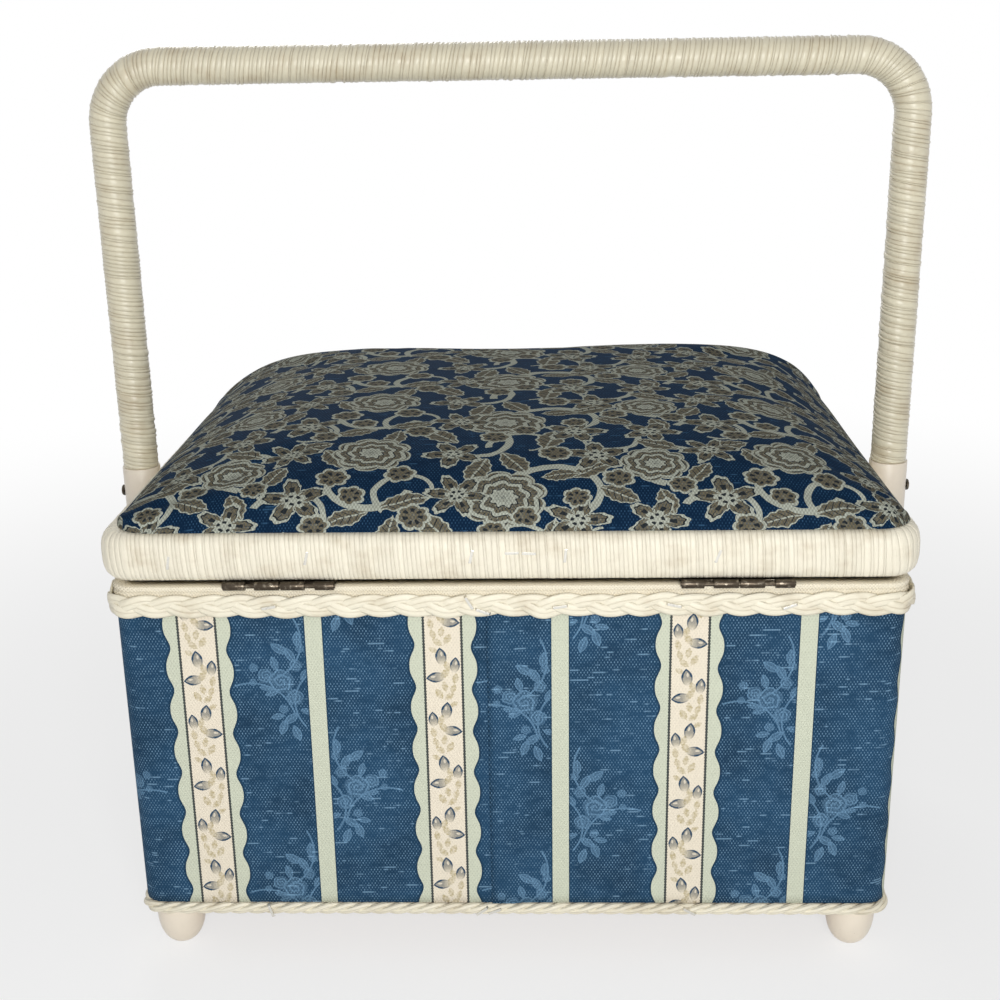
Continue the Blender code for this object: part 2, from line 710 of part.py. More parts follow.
def handle_line(foot):
    """Few points along the handle: its ends and the steps of its two bends."""
    leg = BAR_Z - HANDLE_BEND - foot
    bend = HANDLE_BEND * math.pi / 2
    whole = handle_length(foot)
    rising = [0] + [leg + bend * step / HANDLE_BEND_STEPS for step in range(HANDLE_BEND_STEPS + 1)]
    falling = [whole - distance for distance in reversed(rising)]
    return [handle_point(distance, foot) for distance in rising + falling]


def make_handle_tube():
    """Bent metal tube inside the winding, open at both feet."""
    core = tube("handle_tube", handle_line(TUBE_FOOT_Z), TUBE_DIAMETER / 2)
    line = handle_line(TUBE_FOOT_Z)
    longer = [(x, y, z - OVERRUN if index in (0, len(line) - 1) else z)
              for index, (x, y, z) in enumerate(line)]
    bore = tube("tube_bore", longer, TUBE_DIAMETER / 2 - TUBE_WALL, collection=CUTTERS)
    combine(core, bore, "DIFFERENCE")
    paint(smooth(core), TUBE_METAL)


def make_winding():
    """Winding of flat strand on the tube, one rib to each turn or so, bored for the tube."""
    length = handle_length(WINDING_FOOT_Z)
    steps = 2 * WINDING_RIBS
    groove = 1 - WINDING_GROOVE / (HANDLE_DIAMETER / 2)
    points = []
    radii = []
    for step in range(steps + 1):
        points.append(handle_point(length * step / steps, WINDING_FOOT_Z))
        radii.append(groove if step % 2 == 0 else 1)
    winding = tube("handle_winding", points, HANDLE_DIAMETER / 2, radii)
    line = handle_line(TUBE_FOOT_Z)
    bore = tube("winding_bore", line, TUBE_DIAMETER / 2 + SEAT_GAP, collection=CUTTERS)
    combine(winding, bore, "DIFFERENCE")
    paint(smooth(winding, RIB_CREASE_ANGLE), PAPER_CORD)


def make_socket(name, side):
    """Moulded end that holds the tube and reaches down outside the lid to the pivot."""
    inner = HANDLE_INNER_X
    outer = HANDLE_X + SOCKET_RADIUS
    cup = cylinder(name, SOCKET_RADIUS, PIVOT_Z, SOCKET_TOP_Z, 2 * ROUND_SIDES)
    cup.location = (side * HANDLE_X, 0, 0)

    back = inner + TONGUE_THICKNESS
    taper_top = PIVOT_Z + SOCKET_SHOULDER
    taper_foot = taper_top - SOCKET_TAPER
    outline = [
        (inner, PIVOT_Z - OVERRUN), (back, PIVOT_Z - OVERRUN), (back, taper_foot),
        (outer + OVERRUN, taper_top), (outer + OVERRUN, SOCKET_TOP_Z + OVERRUN),
        (inner, SOCKET_TOP_Z + OVERRUN),
    ]
    outline = [(side * x, z) for x, z in outline]
    limit = flat_solid(f"{name}_limit", (outline,), -2 * SOCKET_RADIUS, 2 * SOCKET_RADIUS, CUTTERS)
    limit.matrix_world = Matrix.Rotation(math.radians(QUARTER_TURN), 4, "X")
    combine(cup, limit, "INTERSECT")

    end = arc(0, 0, SOCKET_RADIUS, HALF_TURN, FULL_TURN, 2 * SECTION_STEPS)
    end += [(SOCKET_RADIUS, SOCKET_SHOULDER), (-SOCKET_RADIUS, SOCKET_SHOULDER)]
    tongue = flat_solid(f"{name}_tongue", (end,), inner, back, CUTTERS)
    turn = Matrix(((0, 0, side, 0), (1, 0, 0, 0), (0, 1, 0, PIVOT_Z), (0, 0, 0, 1)))
    tongue.matrix_world = turn @ tongue.matrix_world
    combine(cup, tongue, "UNION")

    cup_bore = cylinder(f"{name}_bore", TUBE_DIAMETER / 2 + SEAT_GAP,
                        SOCKET_TOP_Z - SOCKET_CUP_DEPTH, SOCKET_TOP_Z + OVERRUN,
                        2 * ROUND_SIDES, CUTTERS)
    cup_bore.location = cup.location
    combine(cup, cup_bore, "DIFFERENCE")
    pivot = cylinder(f"{name}_pivot_bore", PIVOT_RADIUS + PIVOT_CLEARANCE, inner - OVERRUN,
                     back + OVERRUN, collection=CUTTERS)
    along_x(pivot, (0, 0, PIVOT_Z))
    if side < 0:
        pivot.matrix_world = Matrix.Rotation(math.radians(180), 4, "Z") @ pivot.matrix_world
    combine(cup, pivot, "DIFFERENCE")
    screw_bore = cylinder(f"{name}_screw_bore", SOCKET_SCREW_RADIUS + SEAT_GAP, HANDLE_X,
                          outer + OVERRUN, collection=CUTTERS)
    along_x(screw_bore, (0, 0, PIVOT_Z + SOCKET_SCREW_HEIGHT))
    if side < 0:
        screw_bore.matrix_world = Matrix.Rotation(math.radians(180), 4, "Z") @ screw_bore.matrix_world
    combine(cup, screw_bore, "DIFFERENCE")
    return paint(smooth(cup), PALE_PLASTIC)


def headed_pin(name, side, profile, height):
    """Turned screw or spacer on the X axis at one end of the basket.

    Its profile lists radius and distance from the middle plane, outermost first.
    """
    item = smooth(turned(name, profile))
    turn = Matrix.Rotation(math.radians(QUARTER_TURN * side), 4, "Y")
    item.matrix_world = Matrix.Translation((0, 0, height)) @ turn
    return item


def make_pivot(side_name, side):
    """Pivot screw, its spacer on the cover and its nut inside the lining."""
    back = HANDLE_INNER_X + TONGUE_THICKNESS
    seat = back + SEAT_GAP
    head = seat + PIVOT_HEAD_HEIGHT
    edge = seat + PIVOT_HEAD_HEIGHT * HEAD_EDGE_SHARE
    nut_outer = INSIDE_X - SEAT_GAP
    nut_inner = nut_outer - NUT_HEIGHT
    screw = headed_pin(f"pivot_screw_{side_name}", side, [
        (0, head), (PIVOT_HEAD_RADIUS / 2, head), (PIVOT_HEAD_RADIUS, edge),
        (PIVOT_HEAD_RADIUS, seat), (PIVOT_RADIUS, seat), (PIVOT_RADIUS, nut_inner), (0, nut_inner),
    ], PIVOT_Z)
    paint(screw, BRONZE)

    bore = PIVOT_RADIUS + PIVOT_CLEARANCE
    low = BODY_X + SEAT_GAP
    high = HANDLE_INNER_X - SEAT_GAP
    spacer = headed_pin(f"pivot_spacer_{side_name}", side, [
        (bore, high), (SPACER_RADIUS, high), (SPACER_RADIUS, low), (bore, low), (bore, high),
    ], PIVOT_Z)
    paint(spacer, PALE_PLASTIC)

    nut = headed_pin(f"pivot_nut_{side_name}", side, [
        (bore, nut_outer), (NUT_RADIUS, nut_outer), (NUT_RADIUS, nut_inner), (bore, nut_inner),
        (bore, nut_outer),
    ], PIVOT_Z)
    paint(nut, BRONZE)


def make_socket_screw(side_name, side):
    """Small screw that pins the tube in its socket."""
    height = PIVOT_Z + SOCKET_SCREW_HEIGHT
    seat = HANDLE_X + SOCKET_RADIUS + SEAT_GAP
    head = seat + SOCKET_SCREW_HEAD_HEIGHT
    tip = HANDLE_X + TUBE_DIAMETER / 2 + SEAT_GAP
    screw = headed_pin(f"socket_screw_{side_name}", side, [
        (0, head), (SOCKET_SCREW_HEAD / 2, head), (SOCKET_SCREW_HEAD, seat),
        (SOCKET_SCREW_RADIUS, seat), (SOCKET_SCREW_RADIUS, tip), (0, tip),
    ], height)
    paint(screw, BRONZE)


def make_ledge(name, side):
    """Wooden strip on the lining that carries one end of the tray."""
    outer = INSIDE_X - SEAT_GAP
    top = TRAY_BOTTOM - SEAT_GAP
    near, far = sorted((side * outer, side * (outer - LEDGE_WIDTH)))
    reach = INSIDE_Y - LEDGE_END_CLEARANCE
    ledge = block(name, (near, -reach, top - LEDGE_HEIGHT), (far, reach, top))
    paint(ledge, BOARD)


def row_pockets(shares, low, high):
    """Plan rectangles of one row of tray pockets between two places along Y."""
    width = 2 * TRAY_X - TRAY_WALL * (len(shares) + 1)
    start = TRAY_WALL - TRAY_X
    pockets = []
    for share in shares:
        end = start + width * share
        pockets.append(((start + end) / 2, (low + high) / 2, (end - start) / 2, (high - low) / 2))
        start = end + TRAY_WALL
    return pockets


def make_tray():
    """Moulded lift-out tray with three pockets in front and two behind."""
    tray = flat_solid("tray", (rounded_outline(TRAY_X, TRAY_Y, TRAY_CORNER),), TRAY_BOTTOM, TRAY_TOP)
    lip_outline = rounded_outline(TRAY_X + TRAY_LIP, TRAY_Y + TRAY_LIP, TRAY_CORNER + TRAY_LIP)
    lip = flat_solid("tray_lip", (lip_outline,), TRAY_TOP - TRAY_LIP_HEIGHT, TRAY_TOP, CUTTERS)
    combine(tray, lip, "UNION")
    front = TRAY_WALL - TRAY_Y
    divide = front + (2 * TRAY_Y - 3 * TRAY_WALL) * FRONT_ROW_SHARE
    pockets = row_pockets(FRONT_POCKET_SHARES, front, divide)
    pockets += row_pockets(REAR_POCKET_SHARES, divide + TRAY_WALL, TRAY_Y - TRAY_WALL)
    for index, (x, y, half_x, half_y) in enumerate(pockets):
        outline = [(x + px, y + py) for px, py in rounded_outline(half_x, half_y, POCKET_CORNER)]
        pocket = flat_solid(f"tray_pocket_{index + 1}", (outline,), TRAY_BOTTOM + TRAY_WALL,
                            TRAY_TOP + OVERRUN, CUTTERS)
        combine(tray, pocket, "DIFFERENCE")
    paint(smooth(tray), TRAY_PLASTIC)


def joint_empty(name, place, prefixes):
    """Empty on a joint's axis that carries every part whose name starts as listed."""
    empty = bpy.data.objects.new(name, None)
    empty.location = place
    PARTS.objects.link(empty)
    bpy.context.view_layer.update()
    for item in PARTS.objects:
        if item.type == "MESH" and item.name.startswith(prefixes):
            item.parent = empty
            item.matrix_parent_inverse = empty.matrix_world.inverted()


def build():
    """Build every part of the basket and carry the moving ones on their axes."""
    make_base()
    for name, side_x, side_y in (("front_right", 1, -1), ("front_left", -1, -1),
                                 ("rear_left", -1, 1), ("rear_right", 1, 1)):
        make_foot(f"foot_{name}", side_x, side_y)
    make_walls()
    make_tape()
    make_braid()
    make_lid_rim()
    make_pad()
    make_lid_inside()
    make_handle_tube()
    make_winding()
    for name, side in (("left", -1), ("right", 1)):
        make_hinge(name, side * HINGE_SPACING / 2)
        make_socket(f"handle_socket_{name}", side)
        make_pivot(name, side)
        make_socket_screw(name, side)
        make_ledge(f"tray_ledge_{name}", side)
    make_tray()
    joint_empty("lid_axis", (0, HINGE_Y, HINGE_Z),
                ("lid_", "rim_winding", "pad_", "pincushion", "hinge_left_lid", "hinge_right_lid"))
    joint_empty("handle_axis", (0, 0, PIVOT_Z), ("handle_", "socket_screw"))
    joint_empty("tray_axis", (0, 0, TRAY_BOTTOM), ("tray",))


build()
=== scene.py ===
"""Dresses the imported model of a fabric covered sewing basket.

Lengths are in metres, +Z is up and the hinge side faces +Y.
"""
from __future__ import annotations

import logging
import math
from contextlib import contextmanager
from dataclasses import dataclass
from enum import Enum
from functools import reduce
from typing import Callable, Iterator, Sequence

import bpy
import numpy as np
from mathutils import Matrix, Vector


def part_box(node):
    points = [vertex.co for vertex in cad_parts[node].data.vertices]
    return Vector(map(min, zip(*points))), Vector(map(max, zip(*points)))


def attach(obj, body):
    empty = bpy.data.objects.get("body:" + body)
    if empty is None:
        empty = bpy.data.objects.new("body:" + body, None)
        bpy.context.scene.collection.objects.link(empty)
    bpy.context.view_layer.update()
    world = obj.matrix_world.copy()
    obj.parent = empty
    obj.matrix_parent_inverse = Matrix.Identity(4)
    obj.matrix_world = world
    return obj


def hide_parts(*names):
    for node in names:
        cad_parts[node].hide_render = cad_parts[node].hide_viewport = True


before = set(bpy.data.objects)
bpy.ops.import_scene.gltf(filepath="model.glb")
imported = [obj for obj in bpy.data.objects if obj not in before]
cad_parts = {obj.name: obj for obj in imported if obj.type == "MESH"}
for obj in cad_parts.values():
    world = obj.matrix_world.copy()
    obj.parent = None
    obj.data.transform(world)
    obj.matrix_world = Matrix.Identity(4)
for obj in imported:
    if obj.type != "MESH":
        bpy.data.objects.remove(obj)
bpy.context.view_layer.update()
LOG = logging.getLogger("sewing_basket")
MM = 0.001
TAU = 2 * math.pi
DEGREE = math.radians(1)
Array = np.ndarray
Piece = bpy.types.Object
Colour = tuple[float, float, float]
Place = Callable[[Array, Array], Array]


class Body(Enum):
    """The bodies that pieces ride on."""

    BOX = "box"
    LID = "lid"
    HANDLE = "handle"
    TRAY = "tray"


def darker(colour: Colour, share: float) -> Colour:
    """A colour times a share."""
    return tuple(share * part for part in colour)


def operation(kind: str) -> Callable[..., Value]:
    """A method that adds a Math node of this kind for a value and what follows it."""
    def method(self: Value, *others: Value | float) -> Value:
        return self.graph.math(kind, self, *others)
    return method


class Value:
    """An output socket that takes part in Python expressions."""

    __add__ = __radd__ = operation("ADD")
    __sub__ = operation("SUBTRACT")
    __mul__ = __rmul__ = operation("MULTIPLY")
    __truediv__ = operation("DIVIDE")
    __pow__ = operation("POWER")
    __abs__ = operation("ABSOLUTE")
    __lt__ = operation("LESS_THAN")
    __gt__ = operation("GREATER_THAN")
    sin = operation("SINE")
    cos = operation("COSINE")
    floor = operation("FLOOR")
    fract = operation("FRACT")
    sign = operation("SIGN")
    most = operation("MAXIMUM")
    least = operation("MINIMUM")

    def __init__(self, graph: Graph, socket: bpy.types.NodeSocket) -> None:
        """Keep the socket and the graph that it belongs to."""
        self.graph = graph
        self.socket = socket

    def __rsub__(self, other: float) -> Value:
        """Difference from a number."""
        return self.graph.math("SUBTRACT", other, self)

    def smooth(self, low: float, high: float) -> Value:
        """0 to 1 as the value goes from low to high, with soft ends."""
        settings = {"interpolation_type": "SMOOTHSTEP"}
        return self.graph.node("MapRange", settings, {"Value": self, "From Min": low, "From Max": high})

    def laid(self, inside: Value, mark: Value | float) -> Value:
        """This value with a mark laid on it, where it is inside."""
        return self + inside * (self * -1.0 + mark)


class Graph:
    """A node tree under construction."""

    def __init__(self, tree: bpy.types.NodeTree) -> None:
        """Start with the tree emptied."""
        self.tree = tree
        self.tree.nodes.clear()

    def feed(self, item: bpy.types.Node, inputs: dict) -> None:
        """Link or set a node's sockets, by name or number."""
        for key, value in inputs.items():
            if isinstance(value, Value):
                self.tree.links.new(value.socket, item.inputs[key])
            else:
                item.inputs[key].default_value = value

    def motif(self, name: str, draw: Callable[..., Value], *values: Value | Sequence[float] | float) -> Value:
        """Add a node group with one result, which is drawn when it is first used.

        Args:
            name: the group's name.
            draw: takes a graph and a value for each input, and gives the result.
            values: what the inputs get.

        Returns:
            The group's result.
        """
        group = bpy.data.node_groups.get(name)
        if group is None:
            group = bpy.data.node_groups.new(name, "ShaderNodeTree")
            for index, value in enumerate(values):
                single = value.socket.type == "VALUE" if isinstance(value, Value) else np.isscalar(value)
                kind = "NodeSocketFloat" if single else "NodeSocketVector"
                group.interface.new_socket(f"in_{index}", in_out="INPUT", socket_type=kind)
            group.interface.new_socket("out", in_out="OUTPUT", socket_type="NodeSocketFloat")
            inner = Graph(group)
            given = group.nodes.new("NodeGroupInput")
            result = draw(inner, *(Value(inner, socket) for socket in list(given.outputs)[:len(values)]))
            group.links.new(result.socket, group.nodes.new("NodeGroupOutput").inputs[0])
        item = self.tree.nodes.new("ShaderNodeGroup")
        item.node_tree = group
        self.feed(item, dict(enumerate(values)))
        return Value(self, item.outputs[0])

    def motifs(self, name: str, draw: Callable[..., Value], plane: Value, rows: Sequence[tuple]) -> Value:
        """The strongest of a motif's copies.

        Args:
            name: the motif's name.
            draw: draws it.
            plane: what it is drawn on.
            rows: x, y, turn in degrees and size of each copy.

        Returns:
            The copies' greatest value.
        """
        return reduce(Value.most, (self.motif(name, draw, plane, (x, y, 0), math.radians(turn), size)
                                   for x, y, turn, size in rows))

    def local(self, plane: Value, place: Value, turn: Value, size: Value) -> Value:
        """A plane moved, turned and scaled to a motif's own middle, direction and size."""
        inputs = {"Vector": plane, "Location": place, "Rotation": self.join(0.0, 0.0, turn),
                  "Scale": self.join(size, size, 1.0)}
        return self.node("Mapping", {"vector_type": "TEXTURE"}, inputs)

    def polar(self, local: Value) -> tuple[Value, Value]:
        """Distance from and angle round a motif's middle."""
        px, py, _ = self.parts(local)
        return self.vector("LENGTH", local), self.math("ARCTAN2", py, px)

    def node(self, kind: str, settings: dict, inputs: dict, output: int | str = 0) -> Value:
        """Add a node.

        Args:
            kind: the node's type without its ShaderNode prefix.
            settings: its properties.
            inputs: values or links of its sockets, by name or number.
            output: the output socket that the result stands for.

        Returns:
            The output as a value.
        """
        item = self.tree.nodes.new("ShaderNode" + kind)
        for key, value in settings.items():
            setattr(item, key, value)
        self.feed(item, inputs)
        return Value(self, item.outputs[output])

    def math(self, operation: str, *values: Value | float) -> Value:
        """Add a Math node."""
        return self.node("Math", {"operation": operation}, dict(enumerate(values)))

    def vector(self, operation: str, *values: Value | Sequence[float]) -> Value:
        """Add a Vector Math node."""
        output = "Value" if operation == "LENGTH" else 0
        return self.node("VectorMath", {"operation": operation}, dict(enumerate(values)), output)

    def blend(self, first: Value | Colour, second: Value | Colour, factor: Value | float) -> Value:
        """Mix two colours."""
        colours = [value if isinstance(value, Value) else (*value, 1) for value in (first, second)]
        return self.node("Mix", {"data_type": "RGBA"}, {0: factor, 6: colours[0], 7: colours[1]}, 2)

    def place(self) -> Value:
        """Object coordinates in millimetres."""
        point = self.node("TexCoord", {}, {}, "Object")
        return self.vector("MULTIPLY", point, (1 / MM,) * 3)

    def cloth(self, scale: float = 1 / MM) -> Value:
        """The piece's own UV coordinates, in millimetres unless told otherwise."""
        point = self.node("UVMap", {}, {}, "UV")
        return self.vector("MULTIPLY", point, (scale,) * 3)

    def parts(self, vector: Value) -> tuple[Value, Value, Value]:
        """The three numbers of a vector."""
        split = self.node("SeparateXYZ", {}, {0: vector})
        return tuple(Value(self, socket) for socket in split.socket.node.outputs)

    def join(self, x: Value | float, y: Value | float, z: Value | float = 0.0) -> Value:
        """A vector of three numbers."""
        return self.node("CombineXYZ", {}, {0: x, 1: y, 2: z})

    def noise(self, vector: Value, size: float | tuple[float, float, float], detail: float = 2.0) -> Value:
        """Noise with features of about the given size, or sizes along the three axes."""
        scaled = self.vector("DIVIDE", vector, (size,) * 3 if np.isscalar(size) else size)
        inputs = {"Vector": scaled, "Scale": 1.0, "Detail": detail, "Roughness": 0.55}
        return self.node("TexNoise", {}, inputs)

    def random(self, value: Value) -> Value:
        """A random number for each whole value."""
        return self.node("TexWhiteNoise", {"noise_dimensions": "1D"}, {"W": value})

    def bump(self, height: Value, distance: float, strength: float = 1.0) -> Value:
        """Normal of a surface with this height in millimetres times distance."""
        inputs = {"Height": height, "Distance": distance * MM, "Strength": strength}
        return self.node("Bump", {}, inputs)

    def surface(self, colour: Value | Colour, roughness: Value | float, normal: Value | None = None,
                metallic: Value | float = 0.0, specular: float = 0.5, coat: float = 0.0) -> None:
        """Finish the material with a Principled shader."""
        inputs = {"Base Color": colour if isinstance(colour, Value) else (*colour, 1),
                  "Roughness": roughness, "Metallic": metallic, "Specular IOR Level": specular,
                  "Coat Weight": coat, "Coat Roughness": 0.3}
        if normal:
            inputs["Normal"] = normal
        self.close(self.node("BsdfPrincipled", {}, inputs))

    def close(self, shader: Value, kind: str = "Material") -> None:
        """Link a shader to the output of a material or a world."""
        item = self.tree.nodes.new("ShaderNodeOutput" + kind)
        self.tree.links.new(shader.socket, item.inputs["Surface"])

    def seen(self) -> Value:
        """1 for what the camera sees, also when mirrored or through something clear."""
        path = self.node("LightPath", {}, {}, "Is Camera Ray")
        mirrored, clear = (path.socket.node.outputs[f"Is {kind} Ray"] for kind in ("Glossy", "Transmission"))
        return path.most(Value(self, mirrored)).most(Value(self, clear))


@dataclass(frozen=True)
class Finish:
    """A material that is made when a piece first asks for it."""

    name: str

    def draw(self, g: Graph) -> None:
        """Draw the finish into a graph."""
        raise NotImplementedError

    @property
    def material(self) -> bpy.types.Material:
        """The finish's material, made once."""
        found = bpy.data.materials.get(self.name)
        if found is None:
            found = bpy.data.materials.new(self.name)
            found.use_nodes = True
            self.draw(Graph(found.node_tree))
        return found


@dataclass(frozen=True)
class PaperCord(Finish):
    """Varnished cream paper strand, wound turn by turn or plaited.

    UV x counts strands across and UV y runs along them in millimetres.
    """

    colour: Colour = (0.86, 0.79, 0.62)
    # The shade colour serves both the grime patches and the painted shade in the grooves and hollows.
    shade: Colour = (0.42, 0.31, 0.17)
    # The next two fields set the painted shade: in the grooves between turns, and, in patches, in the gaps and
    # fibre hollows.
    groove_shade: float = 0.25
    depth: float = 0.6
    roughness: float = 0.5
    gloss: float = 0.15

    def draw(self, g: Graph) -> None:
        """Fibres along the strand, a tone for each turn, grime in patches and painted shade in the grooves and
        fibre hollows.
        """
        strand = g.cloth(1.0)
        across, along, _ = g.parts(strand)
        turn = (across + 0.01).floor()
        tone = g.random(turn)
        fibre = g.noise(g.join(across * 6.0 + tone * 40.0, along * 0.22), 1, 3.0)
        crease = g.noise(g.join(across * 3.0 + tone * 17.0, along * 0.6), 1, 2.0)
        patch = g.noise(g.place(), (14, 14, 9), 3.0)
        # Grime in patches; painted shade in the grooves and hollows is added to it below.
        grime_and_shade = patch.smooth(0.45, 0.8) * 0.35
        height = fibre * 0.6 + crease * 0.4
        if self.groove_shade:
            # Painted shade in the grooves between turns, stronger in patches.
            edge = (abs((across + 0.01).fract() - 0.5) * 2.0) ** 7.0
            grime_and_shade = grime_and_shade + edge * (self.groove_shade + patch.smooth(0.35, 0.8) * self.depth)
            height = height - edge * 0.6
        # Painted shade in the hollows where the fibre noise is low.
        grime_and_shade = grime_and_shade + (0.42 - fibre).most(0.0) * 1.6 * self.depth
        lit = g.blend(self.colour, darker(self.colour, 0.86), tone * 0.55 + patch * 0.35)
        colour = g.blend(lit, self.shade, grime_and_shade.least(0.85))
        rough = fibre * 0.25 + (self.roughness - 0.12)
        g.surface(colour, rough, g.bump(height, 0.5, 0.7), coat=self.gloss)


@dataclass(frozen=True)
class Ribbon(Finish):
    """Cream tape with rows of painted shade in the hollows of its weave.

    UV x is the distance across in steps of some millimetres and UV y the millimetres along.
    """

    colour: Colour = (0.87, 0.80, 0.64)
    # The shade colour is the painted shade in the weave's hollows.
    shade: Colour = (0.40, 0.31, 0.19)
    step: float = 2.4

    def draw(self, g: Graph) -> None:
        """Rows of painted shade in the hollows of the weave, stronger in patches."""
        across, along, _ = g.parts(g.cloth(1.0))
        knots = (along * (TAU / 1.2)).sin() * (across * (self.step * math.pi / 0.8)).sin()
        worn = g.noise(g.place(), (8, 8, 3), 3.0)
        # Painted shade in the hollows of the weave, where the bump sinks, stronger where the noise above is
        # high.
        dark_marks = knots.smooth(0.25, 0.9) * (worn.smooth(0.35, 0.7) * 0.5 + 0.12)
        colour = g.blend(self.colour, self.shade, dark_marks)
        g.surface(colour, worn * 0.1 + 0.62, g.bump(knots * -1.0, 0.25, 0.5), specular=0.2)


@dataclass(frozen=True)
class Linen:
    """Plain weave with slubs: the cloth under both prints."""

    pitch: float = 1.25
    row: float = 1.02

    def weave(self, g: Graph, u: Value, v: Value) -> tuple[Value, Value]:
        """Height of the weave and where its pale threads show.

        Args:
            g: the graph.
            u: millimetres along the weft.
            v: millimetres along the warp.

        Returns:
            Height from 0 to 1, and a mask of the pale threads.
        """
        knots = (u * (TAU / self.pitch)).sin() * (v * (math.pi / self.row)).sin()
        rows = (v / self.row).floor()
        slub = g.noise(g.join(u * 0.11, rows * 7.31), 1, 2.0)
        patch = g.noise(g.join(u, v), (6, 3, 1), 3.0)
        grain = g.noise(g.join(u, v), (1.1, 0.9, 1), 1.0)
        thread = knots.smooth(0.1, 0.8) * (patch.smooth(0.3, 0.62) * 0.8 + 0.12)
        thread = thread * (grain.smooth(0.25, 0.7) * 0.7 + 0.4)
        line = slub.smooth(0.62, 0.68) * (abs(knots) * 0.4 + 0.55)
        line = line * (abs((v * (math.pi / self.row)).sin()) > 0.55)
        return knots * 0.35 + slub * 0.4 + patch * 0.25, thread.most(line)


@dataclass(frozen=True)
class StripePrint(Finish):
    """Blue slub cloth with scalloped ribbon stripes, plain stripes and line-drawn sprays.

    UV x is the distance along the pattern and UV y the height.
    """

    repeat: float = 92.0
    offset: float = 2.2
    ground: Colour = (0.018, 0.064, 0.130)
    fleck: Colour = (0.22, 0.38, 0.54)
    green: Colour = (0.62, 0.65, 0.52)
    ribbon: Colour = (0.83, 0.75, 0.61)
    ink: Colour = (0.022, 0.062, 0.115)
    thread: Colour = (0.020, 0.030, 0.036)
    leaf: Colour = (0.44, 0.36, 0.18)
    line: Colour = (0.20, 0.37, 0.55)
    bud_step: float = 22.4
    spray_tall: float = 90.0
    spray_start: float = 118.0
    sprigs: tuple = ((-1.8, 3.2, 120, 2.6), (2.0, 2.0, 40, 2.4), (3.6, 5.2, 70, 2.2), (0.4, 6.2, 100, 2.3),
                     (4.4, 9.4, 80, 2.4), (0.6, 11.6, 60, 2.6), (1.4, 14.6, 110, 2.4), (-3.6, 21.2, 150, 2.0))
    roses: tuple = ((13.5, 3.0, 5.2), (19.0, 5.5, 3.2), (8.5, -3.5, 3.4), (23.5, 9.0, 1.9), (7.5, 9.5, 2.6),
                    (24.0, 3.0, 1.6), (5.5, 16.5, 1.8), (13.0, -8.5, 2.0))
    blades: tuple = ((9.5, 14.0, 60, 3.6), (13.5, 16.5, 35, 3.8), (6.5, 20.5, 95, 3.2),
                     (17.0, -1.5, -20, 3.0), (15.5, 10.5, 75, 3.2), (10.5, -12.5, -35, 3.6),
                     (13.5, -16.0, -70, 3.6), (8.5, -18.5, -110, 3.6), (4.5, 6.0, 120, 2.6),
                     (19.5, 0.5, 10, 2.4), (4.2, -9.5, 200, 2.6), (15.5, -11.5, -10, 2.8))
    stems: tuple = ((-6.5, -6.0, 10, 15.0), (25.0, -14.0, 120, 16.5), (22.0, 20.0, 200, 17.0))

    def draw(self, g: Graph) -> None:
        """Lay the ground, sprays, plain stripe and ribbon over one another."""
        cloth = g.cloth()
        u, v, _ = g.parts(cloth)
        height, fleck = Linen().weave(g, u, v)
        half = self.repeat / 2
        plain = g.math("WRAP", u - half + self.offset, half, -half)
        ribbon = g.math("WRAP", u, half, -half)
        cloud = g.noise(cloth, 30, 2.0)
        dark = darker(self.ground, 0.6)
        colour = g.blend(self.ground, dark, cloud.smooth(0.3, 0.8))
        colour = g.blend(colour, self.fleck, fleck * 0.75)
        colour = g.blend(colour, self.line, self.spray(g, plain, v) * (fleck * 0.35 + 0.5))
        pale = g.blend(self.green, darker(self.green, 0.8), height.smooth(0.35, 0.8))
        colour = g.blend(colour, dark, (abs(plain) < 3.7) * 0.7)
        colour = g.blend(colour, pale, abs(plain) < 3.2)
        wave = (v * (TAU / 17.4) + ribbon.sign() * 0.25).sin()
        border = abs(ribbon) - wave * 1.1 + wave * wave * 0.3
        colour = g.blend(colour, dark, (border < 12.7) * 0.8)
        colour = g.blend(colour, pale, border < 11.9)
        band = g.blend(self.ribbon, darker(self.ribbon, 0.86), height.smooth(0.35, 0.8))
        colour = g.blend(colour, band, abs(ribbon) < 7.0)
        dark_marks = abs(abs(ribbon) - 7.1) < (v * 5.2).sin() * 0.09 + 0.45
        colour = self.buds(g, colour, ribbon, v)
        colour = g.blend(colour, self.thread, dark_marks * 0.93)
        g.surface(colour, height * 0.2 + 0.68, g.bump(height, 0.3, 0.8), specular=0.08)

    def buds(self, g: Graph, colour: Value, across: Value, v: Value) -> Value:
        """Buds and leaves in the ribbon, turned over at every other step."""
        place = v / self.bud_step
        side = (place.floor() * 0.5).fract() * 4.0 - 1.0
        local = g.join(across * side, place.fract() * self.bud_step)
        shade = g.noise(g.join(across, v), 1.1, 2.0).smooth(0.3, 0.75)
        leaves = g.motifs("sprig", self.sprig, local, self.sprigs)
        colour = g.blend(colour, self.leaf, leaves * (shade * 0.6 + 0.25))
        for row in ((-0.8, 18.6, 97, 3.6), (4.4, 15.0, 84, 3.2), (-3.0, 10.0, 186, 3.6)):
            tone = g.motifs("bud", self.bud, local, [row])
            colour = g.blend(colour, self.leaf, tone.smooth(0.02, 0.3) * 0.3)
            colour = g.blend(colour, self.ink, tone * (shade * 0.2 + 0.95))
        return colour

